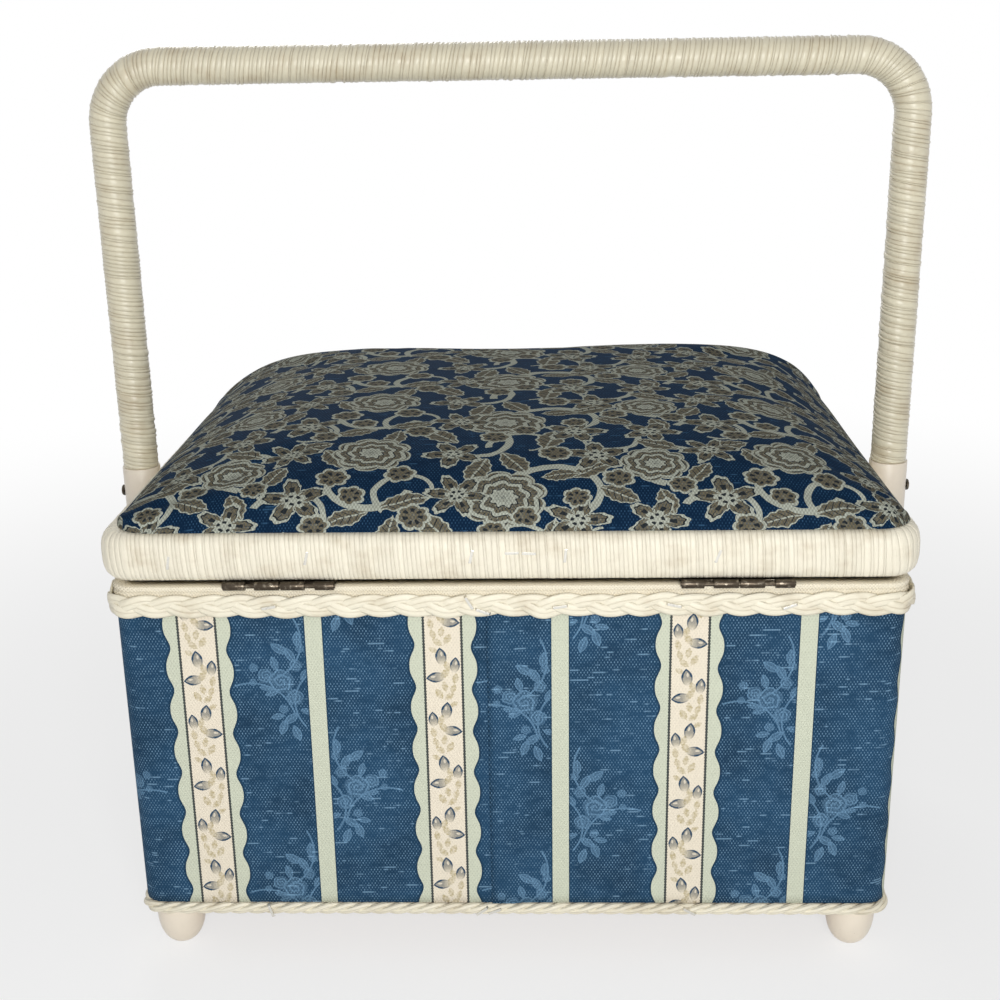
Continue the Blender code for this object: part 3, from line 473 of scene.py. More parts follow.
    @staticmethod
    def bud(g: Graph, plane: Value, *spot: Value) -> Value:
        """A pointed bud with a dark outline and a light spot, fading at its base."""
        px, py, _ = g.parts(g.local(plane, *spot))
        blunt = px * px + py * py * 3.0
        pointed = abs(py) * 1.7 + px * px
        edge = blunt + (px > 0.0) * (pointed - blunt)
        spot = (px - 0.25) * (px - 0.25) + (py + 0.1) * (py + 0.1) * 4.0
        fill = (spot > 0.06) * 0.4 + 0.12
        return (edge < 1.0) * px.smooth(-1.1, 0.1) * ((edge > 0.62) * 0.42 + fill)

    @staticmethod
    def sprig(g: Graph, plane: Value, *spot: Value) -> Value:
        """A small toothed leaf."""
        px, py, _ = g.parts(g.local(plane, *spot))
        return abs(py) + px * px * 0.55 + (px * 14.0).sin() * 0.06 < 0.5

    def spray(self, g: Graph, plain: Value, v: Value) -> Value:
        """Line-drawn roses and leaves on both sides of the plain stripe."""
        half = self.spray_tall / 2
        up = g.math("WRAP", v + (plain > 0.0) * half - self.spray_start, half, -half)
        plane = g.join(abs(plain), up)
        roses = [g.motif("rose", self.rose, plane, (x, y, 0), x, size) for x, y, size in self.roses]
        drawn = reduce(Value.most, roses)
        drawn = drawn.most(g.motifs("blade", self.blade, plane, self.blades))
        return drawn.most(g.motifs("stem", self.stem, plane, self.stems))

    @staticmethod
    def rose(g: Graph, plane: Value, *spot: Value) -> Value:
        """Rings of petals, drawn in line with a faint fill."""
        reach, around = g.polar(g.local(plane, *spot))
        reach = reach * (1.16 - abs((around * 2.5).sin()) * 0.16)
        rings = ((reach - around * 0.09) * 2.4).fract()
        return (reach < 1.0) * ((rings < 0.36) * 0.6 + 0.35)

    @staticmethod
    def blade(g: Graph, plane: Value, *spot: Value) -> Value:
        """A pointed leaf with its outline and rib."""
        px, py, _ = g.parts(g.local(plane, *spot))
        width = abs(py) + px * px * 0.46
        veins = (abs(px * 4.0 + abs(py) * 3.0).fract() < 0.25) * 0.25
        return (width < 0.46) * ((width > 0.34).most(abs(py) < 0.07) * 0.4 + 0.42 + veins)

    @staticmethod
    def stem(g: Graph, plane: Value, *spot: Value) -> Value:
        """An arc of a stem about a centre."""
        local = g.local(plane, *spot)
        px, _, _ = g.parts(local)
        return (abs(g.vector("LENGTH", local) - 1.0) * spot[-1] < 0.35) * (px > 0.62) * 0.85


class Ink(Enum):
    """What the lid's print lays on the ground, in its order along the ramp."""

    GROUND = 0.0
    TAN = 1.0
    PALE = 2.0
    DARK = 3.0


@dataclass(frozen=True)
class FlowerPrint(Finish):
    """Navy slub cloth with traditional outlined flowers, leaves and scrolls.

    UV coordinates are lengths on the cloth. The motifs are laid out on a larger sheet, then drawn at a size.
    """

    wide: float = 164.0
    deep: float = 68.0
    size: tuple[float, float] = (0.96, 0.72)
    ground: Colour = (0.004, 0.017, 0.043)
    fleck: Colour = (0.05, 0.13, 0.24)
    tan: Colour = (0.145, 0.125, 0.078)
    pale: Colour = (0.45, 0.48, 0.41)
    dark: Colour = (0.003, 0.007, 0.014)
    scrolls: tuple = ((22, 6, 10, 21), (66, 30, 120, 19), (110, 16, 200, 20), (150, 46, 300, 19),
                      (8, 46, 60, 15), (84, 62, 20, 17), (40, 50, 250, 14), (128, 8, 90, 15))
    leaves: tuple = ((34, 22, 35, 10), (44, 6, -30, 9), (60, 45, 150, 10), (18, 50, 80, 11), (75, 20, 60, 9),
                     (98, 34, -60, 10), (126, 2, 20, 10), (138, 56, 130, 11), (154, 22, 250, 10),
                     (104, 62, 200, 9), (4, 28, 300, 10), (88, 46, 20, 9), (120, 54, 75, 9), (62, 2, 110, 8),
                     (22, 18, 190, 8))
    peonies: tuple = ((0, 4, 0.3, 17, 9), (112, 38, 1.1, 16, 9), (58, 27, 0.6, 13.5, 8))
    stars: tuple = ((36, 34, 0.4, 13.5, 5), (84, 4, 1.7, 14, 5), (146, 6, 0.9, 13, 6), (28, 60, 2.6, 13, 5),
                    (80, 40, 0.2, 12.5, 6), (144, 36, 2.0, 12.5, 5), (58, 60, 1.2, 12.5, 5))
    blossoms: tuple = ((20, 36, 0.0, 7, 7), (44, 16, 0.5, 6.5, 6), (98, 18, 1.0, 7, 7),
                       (124, 20, 0.2, 6.5, 6), (130, 62, 0.7, 7, 7), (92, 58, 1.2, 6.5, 6),
                       (68, 12, 0.4, 6, 7), (8, 62, 0.9, 6, 6), (160, 54, 0.1, 6.5, 7),
                       (106, 6, 0.3, 6, 6), (28, 4, 0.8, 6, 7))

    def draw(self, g: Graph) -> None:
        """Paint the motifs one over another, then tint them and add the weave."""
        cloth = g.cloth()
        u, v, _ = g.parts(cloth)
        wobble = g.noise(cloth, 8, 1.0) * 2.0
        plane = g.join((u + wobble) / self.size[0], (v - wobble) / self.size[1])
        ink = g.math("ADD", Ink.GROUND.value, 0.0)
        forms = ((self.scroll, DEGREE, self.scrolls), (self.leaf, DEGREE, self.leaves),
                 (self.peony, 1, self.peonies), (self.star, 1, self.stars), (self.blossom, 1, self.blossoms))
        for form, unit, rows in forms:
            for x, y, turn, size, *petals in rows:
                spot = (x, y, 0), turn * unit, size, *petals
                ink = g.motif(form.__name__, self.over(form), ink, plane, *spot)
        height, fleck = Linen().weave(g, u, v)
        worn = g.noise(cloth, (2.2, 1.1, 2.2), 2.0)
        ground = g.blend(self.ground, self.fleck, fleck * 0.6)
        tan = g.blend(self.tan, self.pale, worn.smooth(0.45, 0.85) * 0.35)
        pale = g.blend(self.pale, self.tan, (worn.smooth(0.5, 0.85) + height * 0.5) * 0.35)
        weft = height.smooth(0.1, 0.5) * -0.4 + 1.0
        colour = g.blend(ground, tan, (ink > 0.5) * weft)
        colour = g.blend(colour, pale, (ink > 1.5) * weft)
        colour = g.blend(colour, self.dark, (ink > 2.5) * 0.95)
        g.surface(colour, height * 0.2 + 0.7, g.bump(height, 0.3, 0.8), specular=0.03)

    def over(self, form: Callable[..., tuple[Value, Value | float]]) -> Callable[..., Value]:
        """What draws a motif over the ink, from its form.

        Args:
            form: gives where the motif is in its own frame and what it lays there.

        Returns:
            What draws it on the repeated cloth.
        """
        def draw(g: Graph, ink: Value, plane: Value, place: Value, *spot: Value) -> Value:
            turn, size, *petals = spot
            half = (self.wide / 2, self.deep / 2, 1)
            moved = g.vector("WRAP", g.vector("SUBTRACT", plane, place), half, (-half[0], -half[1], -1))
            return ink.laid(*form(g, g.local(moved, (0, 0, 0), turn, size), *petals))
        return draw

    @staticmethod
    def tinted(pale: Value) -> Value:
        """Tan ink, or pale where told."""
        return pale * (Ink.PALE.value - Ink.TAN.value) + Ink.TAN.value

    def peony(self, g: Graph, local: Value, petals: Value) -> tuple[Value, Value]:
        """A large round flower of nested rows of petals."""
        reach, around = g.polar(local)
        lobes = abs((around * petals * 0.5).cos()) ** 0.5
        edge = reach * (1.2 - lobes * 0.2)
        rows = (edge * 3.4 + (around * petals).sin() * 0.12).fract()
        cut = (abs((around * petals).sin()) < 0.09) * (edge > 0.3)
        mark = self.tinted((rows > 0.62).most(cut).most(edge < 0.3)).most((edge > 0.94) * Ink.PALE.value)
        fine = (rows < 0.12).most((abs((around * petals * 2.0).sin()) < 0.3) * (rows > 0.3) * (rows < 0.62))
        return edge < 1.0, mark.laid(fine * (edge < 0.9), Ink.DARK.value)

    def star(self, g: Graph, local: Value, petals: Value) -> tuple[Value, Value]:
        """A flower of pointed petals with toothed edges and an eye in each petal."""
        reach, around = g.polar(local)
        lobe = abs((around * petals * 0.5).cos())
        teeth = (around * petals * 5.0).sin() * 0.035
        edge = reach / (0.46 + lobe ** 1.6 * 0.54 + teeth)
        mark = self.tinted((edge > 0.86).most(edge < 0.42).most(lobe < 0.26))
        vein = (abs((around * petals * 2.0).sin()) < 0.14) * (edge > 0.6) * (edge < 0.8)
        eye = ((abs(reach - 0.46) < 0.11) * (lobe > 0.93)).most(vein).most(abs(edge - 0.83) < 0.03)
        core = (abs(reach - 0.17) < 0.05) * ((around * petals).sin() > -0.2)
        return edge < 1.0, mark.laid(eye.most(core), Ink.DARK.value)

    def blossom(self, g: Graph, local: Value, petals: Value) -> tuple[Value, Value]:
        """A small round flower with a dotted heart."""
        reach, around = g.polar(local)
        lobe = abs((around * petals * 0.5).cos()) ** 0.6
        edge = reach * (1.28 - lobe * 0.28)
        dots = (abs(reach - 0.44) < 0.14) * ((around * petals).cos() > 0.0)
        return edge < 1.0, self.tinted(edge > 0.8).laid(dots, Ink.DARK.value)

    def leaf(self, g: Graph, local: Value) -> tuple[Value, Value]:
        """A pointed leaf with a toothed outline, a rib and veins."""
        px, py, _ = g.parts(local)
        width = abs(py) + px * px * 0.5 + (px * 16.0).sin() * 0.035
        veins = ((px * 3.2 - abs(py) * 2.6).fract() < 0.16) * (width < 0.36)
        return width < 0.5, self.tinted((width > 0.43).most(abs(py) < 0.04)).laid(veins, Ink.DARK.value)

    @staticmethod
    def scroll(g: Graph, local: Value) -> tuple[Value, float]:
        """A curling stem, thicker at one end."""
        reach, around = g.polar(local)
        curl = reach - 0.72 - around * 0.1
        thick = (around + 3.2) * 0.012 + 0.03
        return (abs(curl) < thick) * (abs(around) < 2.4), Ink.PALE.value


@dataclass(frozen=True)
class Bronze(Finish):
    """Antique bronze plating, rubbed bright in places."""

    colour: Colour = (0.070, 0.056, 0.041)
    bright: Colour = (0.42, 0.37, 0.29)

    def draw(self, g: Graph) -> None:
        """Dark plating with worn patches and fine scratches."""
        place = g.place()
        patch = g.noise(place, 1.6, 4.0)
        scratch = g.noise(place, (3.5, 0.12, 0.12), 2.0)
        worn = (patch * 0.7 + scratch * 0.3).smooth(0.5, 0.72)
        colour = g.blend(self.colour, self.bright, worn * 0.7)
        g.surface(colour, 0.32 - worn * 0.1, g.bump(scratch, 0.05, 0.5), metallic=1.0)


@dataclass(frozen=True)
class Moulding(Finish):
    """Moulded plastic with a fine skin, faint flow lines and specks."""

    colour: Colour = (0.86, 0.77, 0.64)
    roughness: float = 0.36

    def draw(self, g: Graph) -> None:
        """A soft gloss with slight changes of tone."""
        place = g.place()
        cloud = g.noise(place, 11, 3.0)
        skin = g.noise(place, 0.35, 2.0)
        speck = g.noise(place, 0.9, 1.0).smooth(0.74, 0.8)
        tone = g.blend(self.colour, darker(self.colour, 0.95), cloud.smooth(0.3, 0.75))
        colour = g.blend(tone, (0.38, 0.29, 0.2), speck * 0.35)
        g.surface(colour, cloud * 0.14 + (self.roughness - 0.07), g.bump(skin, 0.04, 0.4), coat=0.1)


@dataclass(frozen=True)
class Satin(Finish):
    """Cream satin with its fine diagonal float threads."""

    colour: Colour = (0.80, 0.75, 0.63)

    def draw(self, g: Graph) -> None:
        """Threads, a soft shine and faint folds, with painted shade on the folds."""
        u, v, _ = g.parts(g.cloth())
        thread = ((u + v * 0.4) * 9.0).sin() * 0.5 + 0.5
        fold = g.noise(g.join(u, v), (9, 26, 1), 3.0)
        # Painted shade on the folds, where the fold noise is high.
        colour = g.blend(self.colour, darker(self.colour, 0.86), fold.smooth(0.35, 0.8) * 0.4)
        colour = g.blend(colour, darker(self.colour, 0.9), thread * 0.3)
        g.surface(colour, fold * 0.2 + 0.28, g.bump(fold + thread * 0.05, 0.5, 0.6))


@dataclass(frozen=True)
class Fibreboard(Finish):
    """Brown fibreboard with short pressed fibres."""

    colour: Colour = (0.36, 0.23, 0.13)

    def draw(self, g: Graph) -> None:
        """Fibres in two directions, with darker specks."""
        place = g.place()
        long = g.noise(place, (2.4, 0.3, 0.5), 3.0)
        short = g.noise(place, (0.35, 1.6, 0.5), 3.0)
        speck = g.noise(place, 0.7, 1.0).smooth(0.66, 0.8)
        tone = g.blend(self.colour, darker(self.colour, 1.5), long * 0.6 + short * 0.4)
        colour = g.blend(tone, (0.10, 0.06, 0.03), speck * 0.6)
        g.surface(colour, short * 0.2 + 0.65, g.bump(long + short, 0.15, 0.6))


@dataclass(frozen=True)
class Wire(Finish):
    """Bright staple wire or brushed tube."""

    colour: Colour = (0.74, 0.72, 0.66)

    def draw(self, g: Graph) -> None:
        """Drawn lines along the wire with dull spots."""
        place = g.place()
        line = g.noise(place, (4, 0.1, 0.1), 2.0)
        dull = g.noise(place, 1.2, 2.0).smooth(0.5, 0.8)
        colour = g.blend(self.colour, darker(self.colour, 0.45), dull * 0.6)
        g.surface(colour, dull * 0.25 + 0.28, g.bump(line, 0.03, 0.5), metallic=1.0)


@dataclass(frozen=True)
class FloorPaper(Finish):
    """Pale floor that keeps the shadow and fades into the white background."""

    tone: float = 0.9
    glow: float = 0.65
    near: float = 250.0
    far: float = 900.0

    def draw(self, g: Graph) -> None:
        """Diffuse paper that glows for the camera, wholly so from a distance."""
        far = g.vector("LENGTH", g.place()).smooth(self.near, self.far)
        paper = g.node("BsdfDiffuse", {}, {"Color": (self.tone,) * 3 + (1,)})
        light = g.node("Emission", {}, {"Color": (1, 1, 1, 1), "Strength": 1.0})
        share = (far * (1 - self.glow) + self.glow) * g.seen()
        g.close(g.node("MixShader", {}, {0: share, 1: paper, 2: light}))


RIM_CORD = PaperCord("rim_cord", colour=(0.92, 0.86, 0.70), groove_shade=0.04, depth=0.2)
HANDLE_CORD = PaperCord("handle_cord", colour=(0.80, 0.74, 0.56), groove_shade=0.3, depth=0.55, roughness=0.36,
                        gloss=0.5)
TAPE = Ribbon("woven_tape_weave")
PLAIT_CORD = PaperCord("plait_cord", colour=(0.92, 0.86, 0.69), groove_shade=0.14, depth=0.35)
STRIPE_CLOTH = StripePrint("stripe_cloth")
FLOWER_CLOTH = FlowerPrint("flower_cloth")
BRONZE = Bronze("antique_bronze")
PALE_PLASTIC = Moulding("pale_plastic_skin")
TRAY_PLASTIC = Moulding("tray_plastic_skin", colour=(0.80, 0.76, 0.64), roughness=0.3)
SATIN = Satin("cream_satin")
BOARD = Fibreboard("fibreboard")
STEEL = Wire("staple_wire")
FLOOR = FloorPaper("floor_paper")


def deselect() -> None:
    """Leave nothing selected."""
    bpy.ops.object.select_all(action="DESELECT")


def activate(piece: Piece) -> None:
    """Select one object alone and work on it."""
    deselect()
    piece.select_set(True)
    bpy.context.view_layer.objects.active = piece


@contextmanager
def editing(piece: Piece, action: str = "SELECT") -> Iterator[None]:
    """Edit mode on one piece, after the action on its selection."""
    activate(piece)
    bpy.ops.object.mode_set(mode="EDIT")
    bpy.ops.mesh.select_all(action=action)
    yield
    bpy.ops.object.mode_set(mode="OBJECT")


def clean(piece: Piece, weld: float = 0.002 * MM) -> None:
    """Merge doubled corners and point all faces outwards."""
    with editing(piece):
        bpy.ops.mesh.remove_doubles(threshold=weld)
        bpy.ops.mesh.dissolve_degenerate(threshold=weld)
        bpy.ops.mesh.normals_make_consistent(inside=False)


def close_edge(piece: Piece) -> None:
    """Fill the piece's open edge with one face."""
    with editing(piece, "DESELECT"):
        bpy.ops.mesh.select_non_manifold()
        bpy.ops.mesh.edge_face_add()


def corners_of(piece: Piece) -> Array:
    """The mesh's corners as rows."""
    flat = np.empty(len(piece.data.vertices) * 3)
    piece.data.vertices.foreach_get("co", flat)
    return flat.reshape(-1, 3)


def mark_cloth(piece: Piece, marks: Array) -> None:
    """Write one pair of cloth coordinates for each corner of the mesh."""
    loops = np.empty(len(piece.data.loops), dtype=np.int32)
    piece.data.loops.foreach_get("vertex_index", loops)
    piece.data.uv_layers.active.data.foreach_set("uv", marks[loops].astype(np.float32).ravel())


def woven(name: str, columns: int, rows: int, place: Place, marks: Place, closed: bool = True) -> Piece:
    """A grid whose corners are laid on a surface.

    Args:
        name: the piece's name.
        columns: faces along the grid.
        rows: faces across it.
        place: gives points for whole columns and rows.
        marks: gives cloth coordinates for whole columns and rows.
        closed: whether edges that meet are merged.

    Returns:
        The piece, shaded smooth.
    """
    deselect()
    bpy.ops.mesh.primitive_grid_add(x_subdivisions=columns, y_subdivisions=rows, size=2)
    piece = bpy.context.active_object
    piece.name = name
    row, column = np.divmod(np.arange((columns + 1) * (rows + 1)), columns + 1)
    piece.data.vertices.foreach_set("co", place(column, row).astype(np.float32).ravel())
    mark_cloth(piece, marks(column, row))
    piece.data.update()
    if closed:
        clean(piece)
    activate(piece)
    bpy.ops.object.shade_smooth()
    return piece


def stack(*rows: Array) -> Array:
    """Columns of numbers side by side."""
    return np.stack(np.broadcast_arrays(*rows), axis=-1).astype(float)


def use(piece: Piece, kind: str, **settings: float | int | str | bool) -> None:
    """Add a modifier and apply it."""
    activate(piece)
    step = piece.modifiers.new(kind.lower(), kind)
    for key, value in settings.items():
        setattr(step, key, value)
    bpy.ops.object.modifier_apply(modifier=step.name)


def joined(name: str, pieces: Sequence[Piece]) -> Piece:
    """Join meshes into one piece of that name."""
    activate(pieces[0])
    for piece in pieces[1:]:
        piece.select_set(True)
    bpy.ops.object.join()
    pieces[0].name = name
    return pieces[0]


def settle(piece: Piece, body: Body, finish: Finish, slot: str, *nodes: str) -> Piece:
    """Dress a finished piece and put it on its body.

    Args:
        piece: the piece, at the origin.
        body: what it rides on.
        finish: its material.
        slot: not used.
        nodes: the CAD nodes that it stands for.

    Returns:
        The piece.
    """
    piece.data.materials.clear()
    piece.data.materials.append(finish.material)
    if nodes:
        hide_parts(*nodes)
    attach(piece, body.value)
    LOG.info("%s: %d faces on %s", piece.name, len(piece.data.polygons), body.value)
    return piece


def dress(finish: Finish, *nodes: str) -> None:
    """Give CAD nodes a finish."""
    for node in nodes:
        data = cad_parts[node].data
        data.materials.clear()
        data.materials.append(finish.material)


def refined(name: str, node: str, width: float, crease: float = 40.0) -> Piece:
    """A copy of a CAD node with its doubles merged and its edges rounded."""
    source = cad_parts[node]
    piece = bpy.data.objects.new(name, source.data.copy())
    bpy.context.scene.collection.objects.link(piece)
    clean(piece, 0.02 * MM)
    with editing(piece):
        bpy.ops.mesh.dissolve_limited(angle_limit=math.radians(2))
    use(piece, "BEVEL", width=width, segments=2, limit_method="ANGLE", angle_limit=math.radians(crease))
    activate(piece)
    bpy.ops.object.shade_smooth_by_angle(angle=math.radians(crease))
    return piece


@dataclass(frozen=True)
class Ring:
    """A rounded rectangle seen from above, measured from the middle of the hinge side."""

    half_x: float
    half_y: float
    corner: float

    @property
    def spans(self) -> tuple[float, ...]:
        """Lengths of its straights and bends in turn."""
        bend = self.corner * math.pi / 2
        a, b = self.half_x - self.corner, self.half_y - self.corner
        return a, bend, 2 * b, bend, 2 * a, bend, 2 * b, bend, a

    @property
    def length(self) -> float:
        """Its whole length."""
        return sum(self.spans)

    def at(self, along: Array) -> tuple[Array, Array]:
        """Points and outward directions at distances that run to the right, seen from outside."""
        along = np.mod(along, self.length)
        a, b = self.half_x - self.corner, self.half_y - self.corner
        middles = ((-a, b), (-a, -b), (a, -b), (a, b))
        point, facing = np.zeros((len(along), 2)), np.zeros((len(along), 2))
        start = 0.0
        for index, span in enumerate(self.spans):
            here = (along >= start - 1e-12) & (along <= start + span + 1e-12)
            rest = along[here] - start
            quarter = (index + 1) // 2
            turn = math.pi / 2 * (1 + quarter)
            out = np.array((math.cos(turn), math.sin(turn)))
            ahead = np.array((-out[1], out[0]))
            if index % 2:
                angle = math.pi / 2 * (index // 2 + 1) + rest / self.corner
                out_here = np.stack((np.cos(angle), np.sin(angle)), axis=-1)
                point[here] = np.array(middles[index // 2]) + out_here * self.corner
                facing[here] = out_here
            else:
                begin = np.array(middles[quarter - 1]) + out * self.corner if index else (0.0, self.half_y)
                point[here] = begin + rest[:, None] * ahead
                facing[here] = out
            start += span
        return point, facing

    def lay(self, along: Array, out: Array, up: Array) -> Array:
        """Points at a distance along the ring, outward of it and at a height."""
        point, facing = self.at(along)
        point = point + facing * np.asarray(out)[:, None]
        return stack(point[:, 0], point[:, 1], up)


class Outline:
    """A closed section in outward and upward lengths, clockwise."""

    def __init__(self, points: Sequence[tuple[float, float]]) -> None:
        """Keep the points and the distances between them."""
        self.loop = np.array([*points, points[0]])
        self.stops = np.concatenate(((0.0,), np.cumsum(np.hypot(*np.diff(self.loop, axis=0).T))))
        self.length = self.stops[-1]

    def at(self, share: Array) -> Array:
        """Points at shares of the way round."""
        along = np.mod(share, 1.0) * self.length
        return np.stack([np.interp(along, self.stops, self.loop[:, axis]) for axis in (0, 1)], axis=-1)

    def facing(self, share: Array, reach: float = 0.012) -> Array:
        """Outward directions at shares of the way round."""
        step = self.at(share + reach) - self.at(share - reach)
        normal = np.stack((-step[:, 1], step[:, 0]), axis=-1)
        return normal / np.maximum(np.linalg.norm(normal, axis=1, keepdims=True), 1e-12)


@dataclass(frozen=True)
class Winding:
    """Flat strand laid turn by turn round a core, never quite evenly."""

    turns: int
    relief: float
    unevenness: float
    seed: int
    starts: int = 1
    wander: float = 0.13
    spots: tuple[float, ...] = (0.0, 0.13, 0.5, 0.87)

    def phase(self, column: Array) -> Array:
        """Turns counted along the core at each column of the grid."""
        turn, spot = np.divmod(column, len(self.spots))
        return turn + np.array(self.spots)[spot]

    def drift(self, phase: Array, share: Array) -> Array:
        """Sideways wandering of the strand, in turns."""
        loose = np.random.default_rng(self.seed).normal(0, self.wander, self.turns)
        stops, rests = np.arange(self.turns + 1), [*loose, loose[0]]
        ends = (np.interp(np.mod(phase + step, self.turns), stops, rests) for step in (0, self.starts))
        return next(ends) * (1 - share) + next(ends) * share + share * self.starts

    def height(self, phase: Array, share: Array) -> Array:
        """Height of the strand's face at a share of the way round the core."""
        loose = np.random.default_rng(self.seed + 1).normal(0, self.unevenness, self.turns)
        turn = np.floor(phase + 1e-9).astype(int)
        inside = phase - turn
        lift = loose[turn % self.turns] * (1 - share) + loose[(turn + self.starts) % self.turns] * share
        lean = (inside - 0.5) * 0.25
        return (self.relief * (1 + lean) + lift) * (1 - np.abs(2 * inside - 1) ** 3) - self.relief


def rope_line(line: Array) -> tuple[Array, Array]:
    """Directions across a closed line: level ones and ones at right angles to both."""
    ahead = np.roll(line, -1, axis=0) - np.roll(line, 1, axis=0)
    ahead /= np.linalg.norm(ahead, axis=1, keepdims=True)
    level = np.cross(ahead, (0, 0, 1.0))
    level /= np.linalg.norm(level, axis=1, keepdims=True)
    return level, np.cross(level, ahead)


def closed_strand(name: str, line: Array, thick: float, wide: float, sides: int,
                  fibres: float) -> Piece:
    """An oval strand along a closed line.

    Args:
        name: the strand's name.
        line: points along it, in order, without the first one again.
        thick: its size across the face that it lies on.
        wide: its size along that face.
        sides: corners of its section.
        fibres: strands counted round it by its cloth coordinates.

    Returns:
        The strand.
    """
    level, rise = rope_line(line)
    count = len(line)
    steps = np.linalg.norm(np.roll(line, -1, axis=0) - line, axis=1)
    run = np.concatenate(((0.0,), np.cumsum(steps))) / MM

    def place(column: Array, row: Array) -> Array:
        angle = TAU * row / sides
        index = column % count
        out = level[index] * (thick / 2 * np.cos(angle))[:, None]
        return line[index] + out + rise[index] * (wide / 2 * np.sin(angle))[:, None]

    def marks(column: Array, row: Array) -> Array:
        return stack(fibres * row / sides, run[column])

    return woven(name, count, sides, place, marks)


def three_strands(name: str, ring: Ring, lay: float, steps: int, size: tuple[float, float], fibres: float,
                  path: Callable[[int, Array, Array], tuple[Array, Array]]) -> Piece:
    """Three strands round a ring, joined.

    Args:
        name: the piece's name.
        ring: what they run along.
        lay: the length in which a strand comes round to its place.
        steps: points in that length.
        size: a strand's thickness and width.
        fibres: strands counted round it by its cloth coordinates.
        path: gives outward and upward places for a strand's number, its lengths along the ring and its turns.

    Returns:
        The piece.
    """
    lays = round(ring.length / lay)
    count = lays * steps
    index = np.arange(count)
    run = ring.length * index / count
    strands = []
    for strand in range(3):
        out, up = path(strand, run, TAU * (lays * index / count + strand / 3))
        strands.append(closed_strand(f"{name}_{strand}", ring.lay(run, out, up), *size, 10, fibres))
    return joined(name, strands)


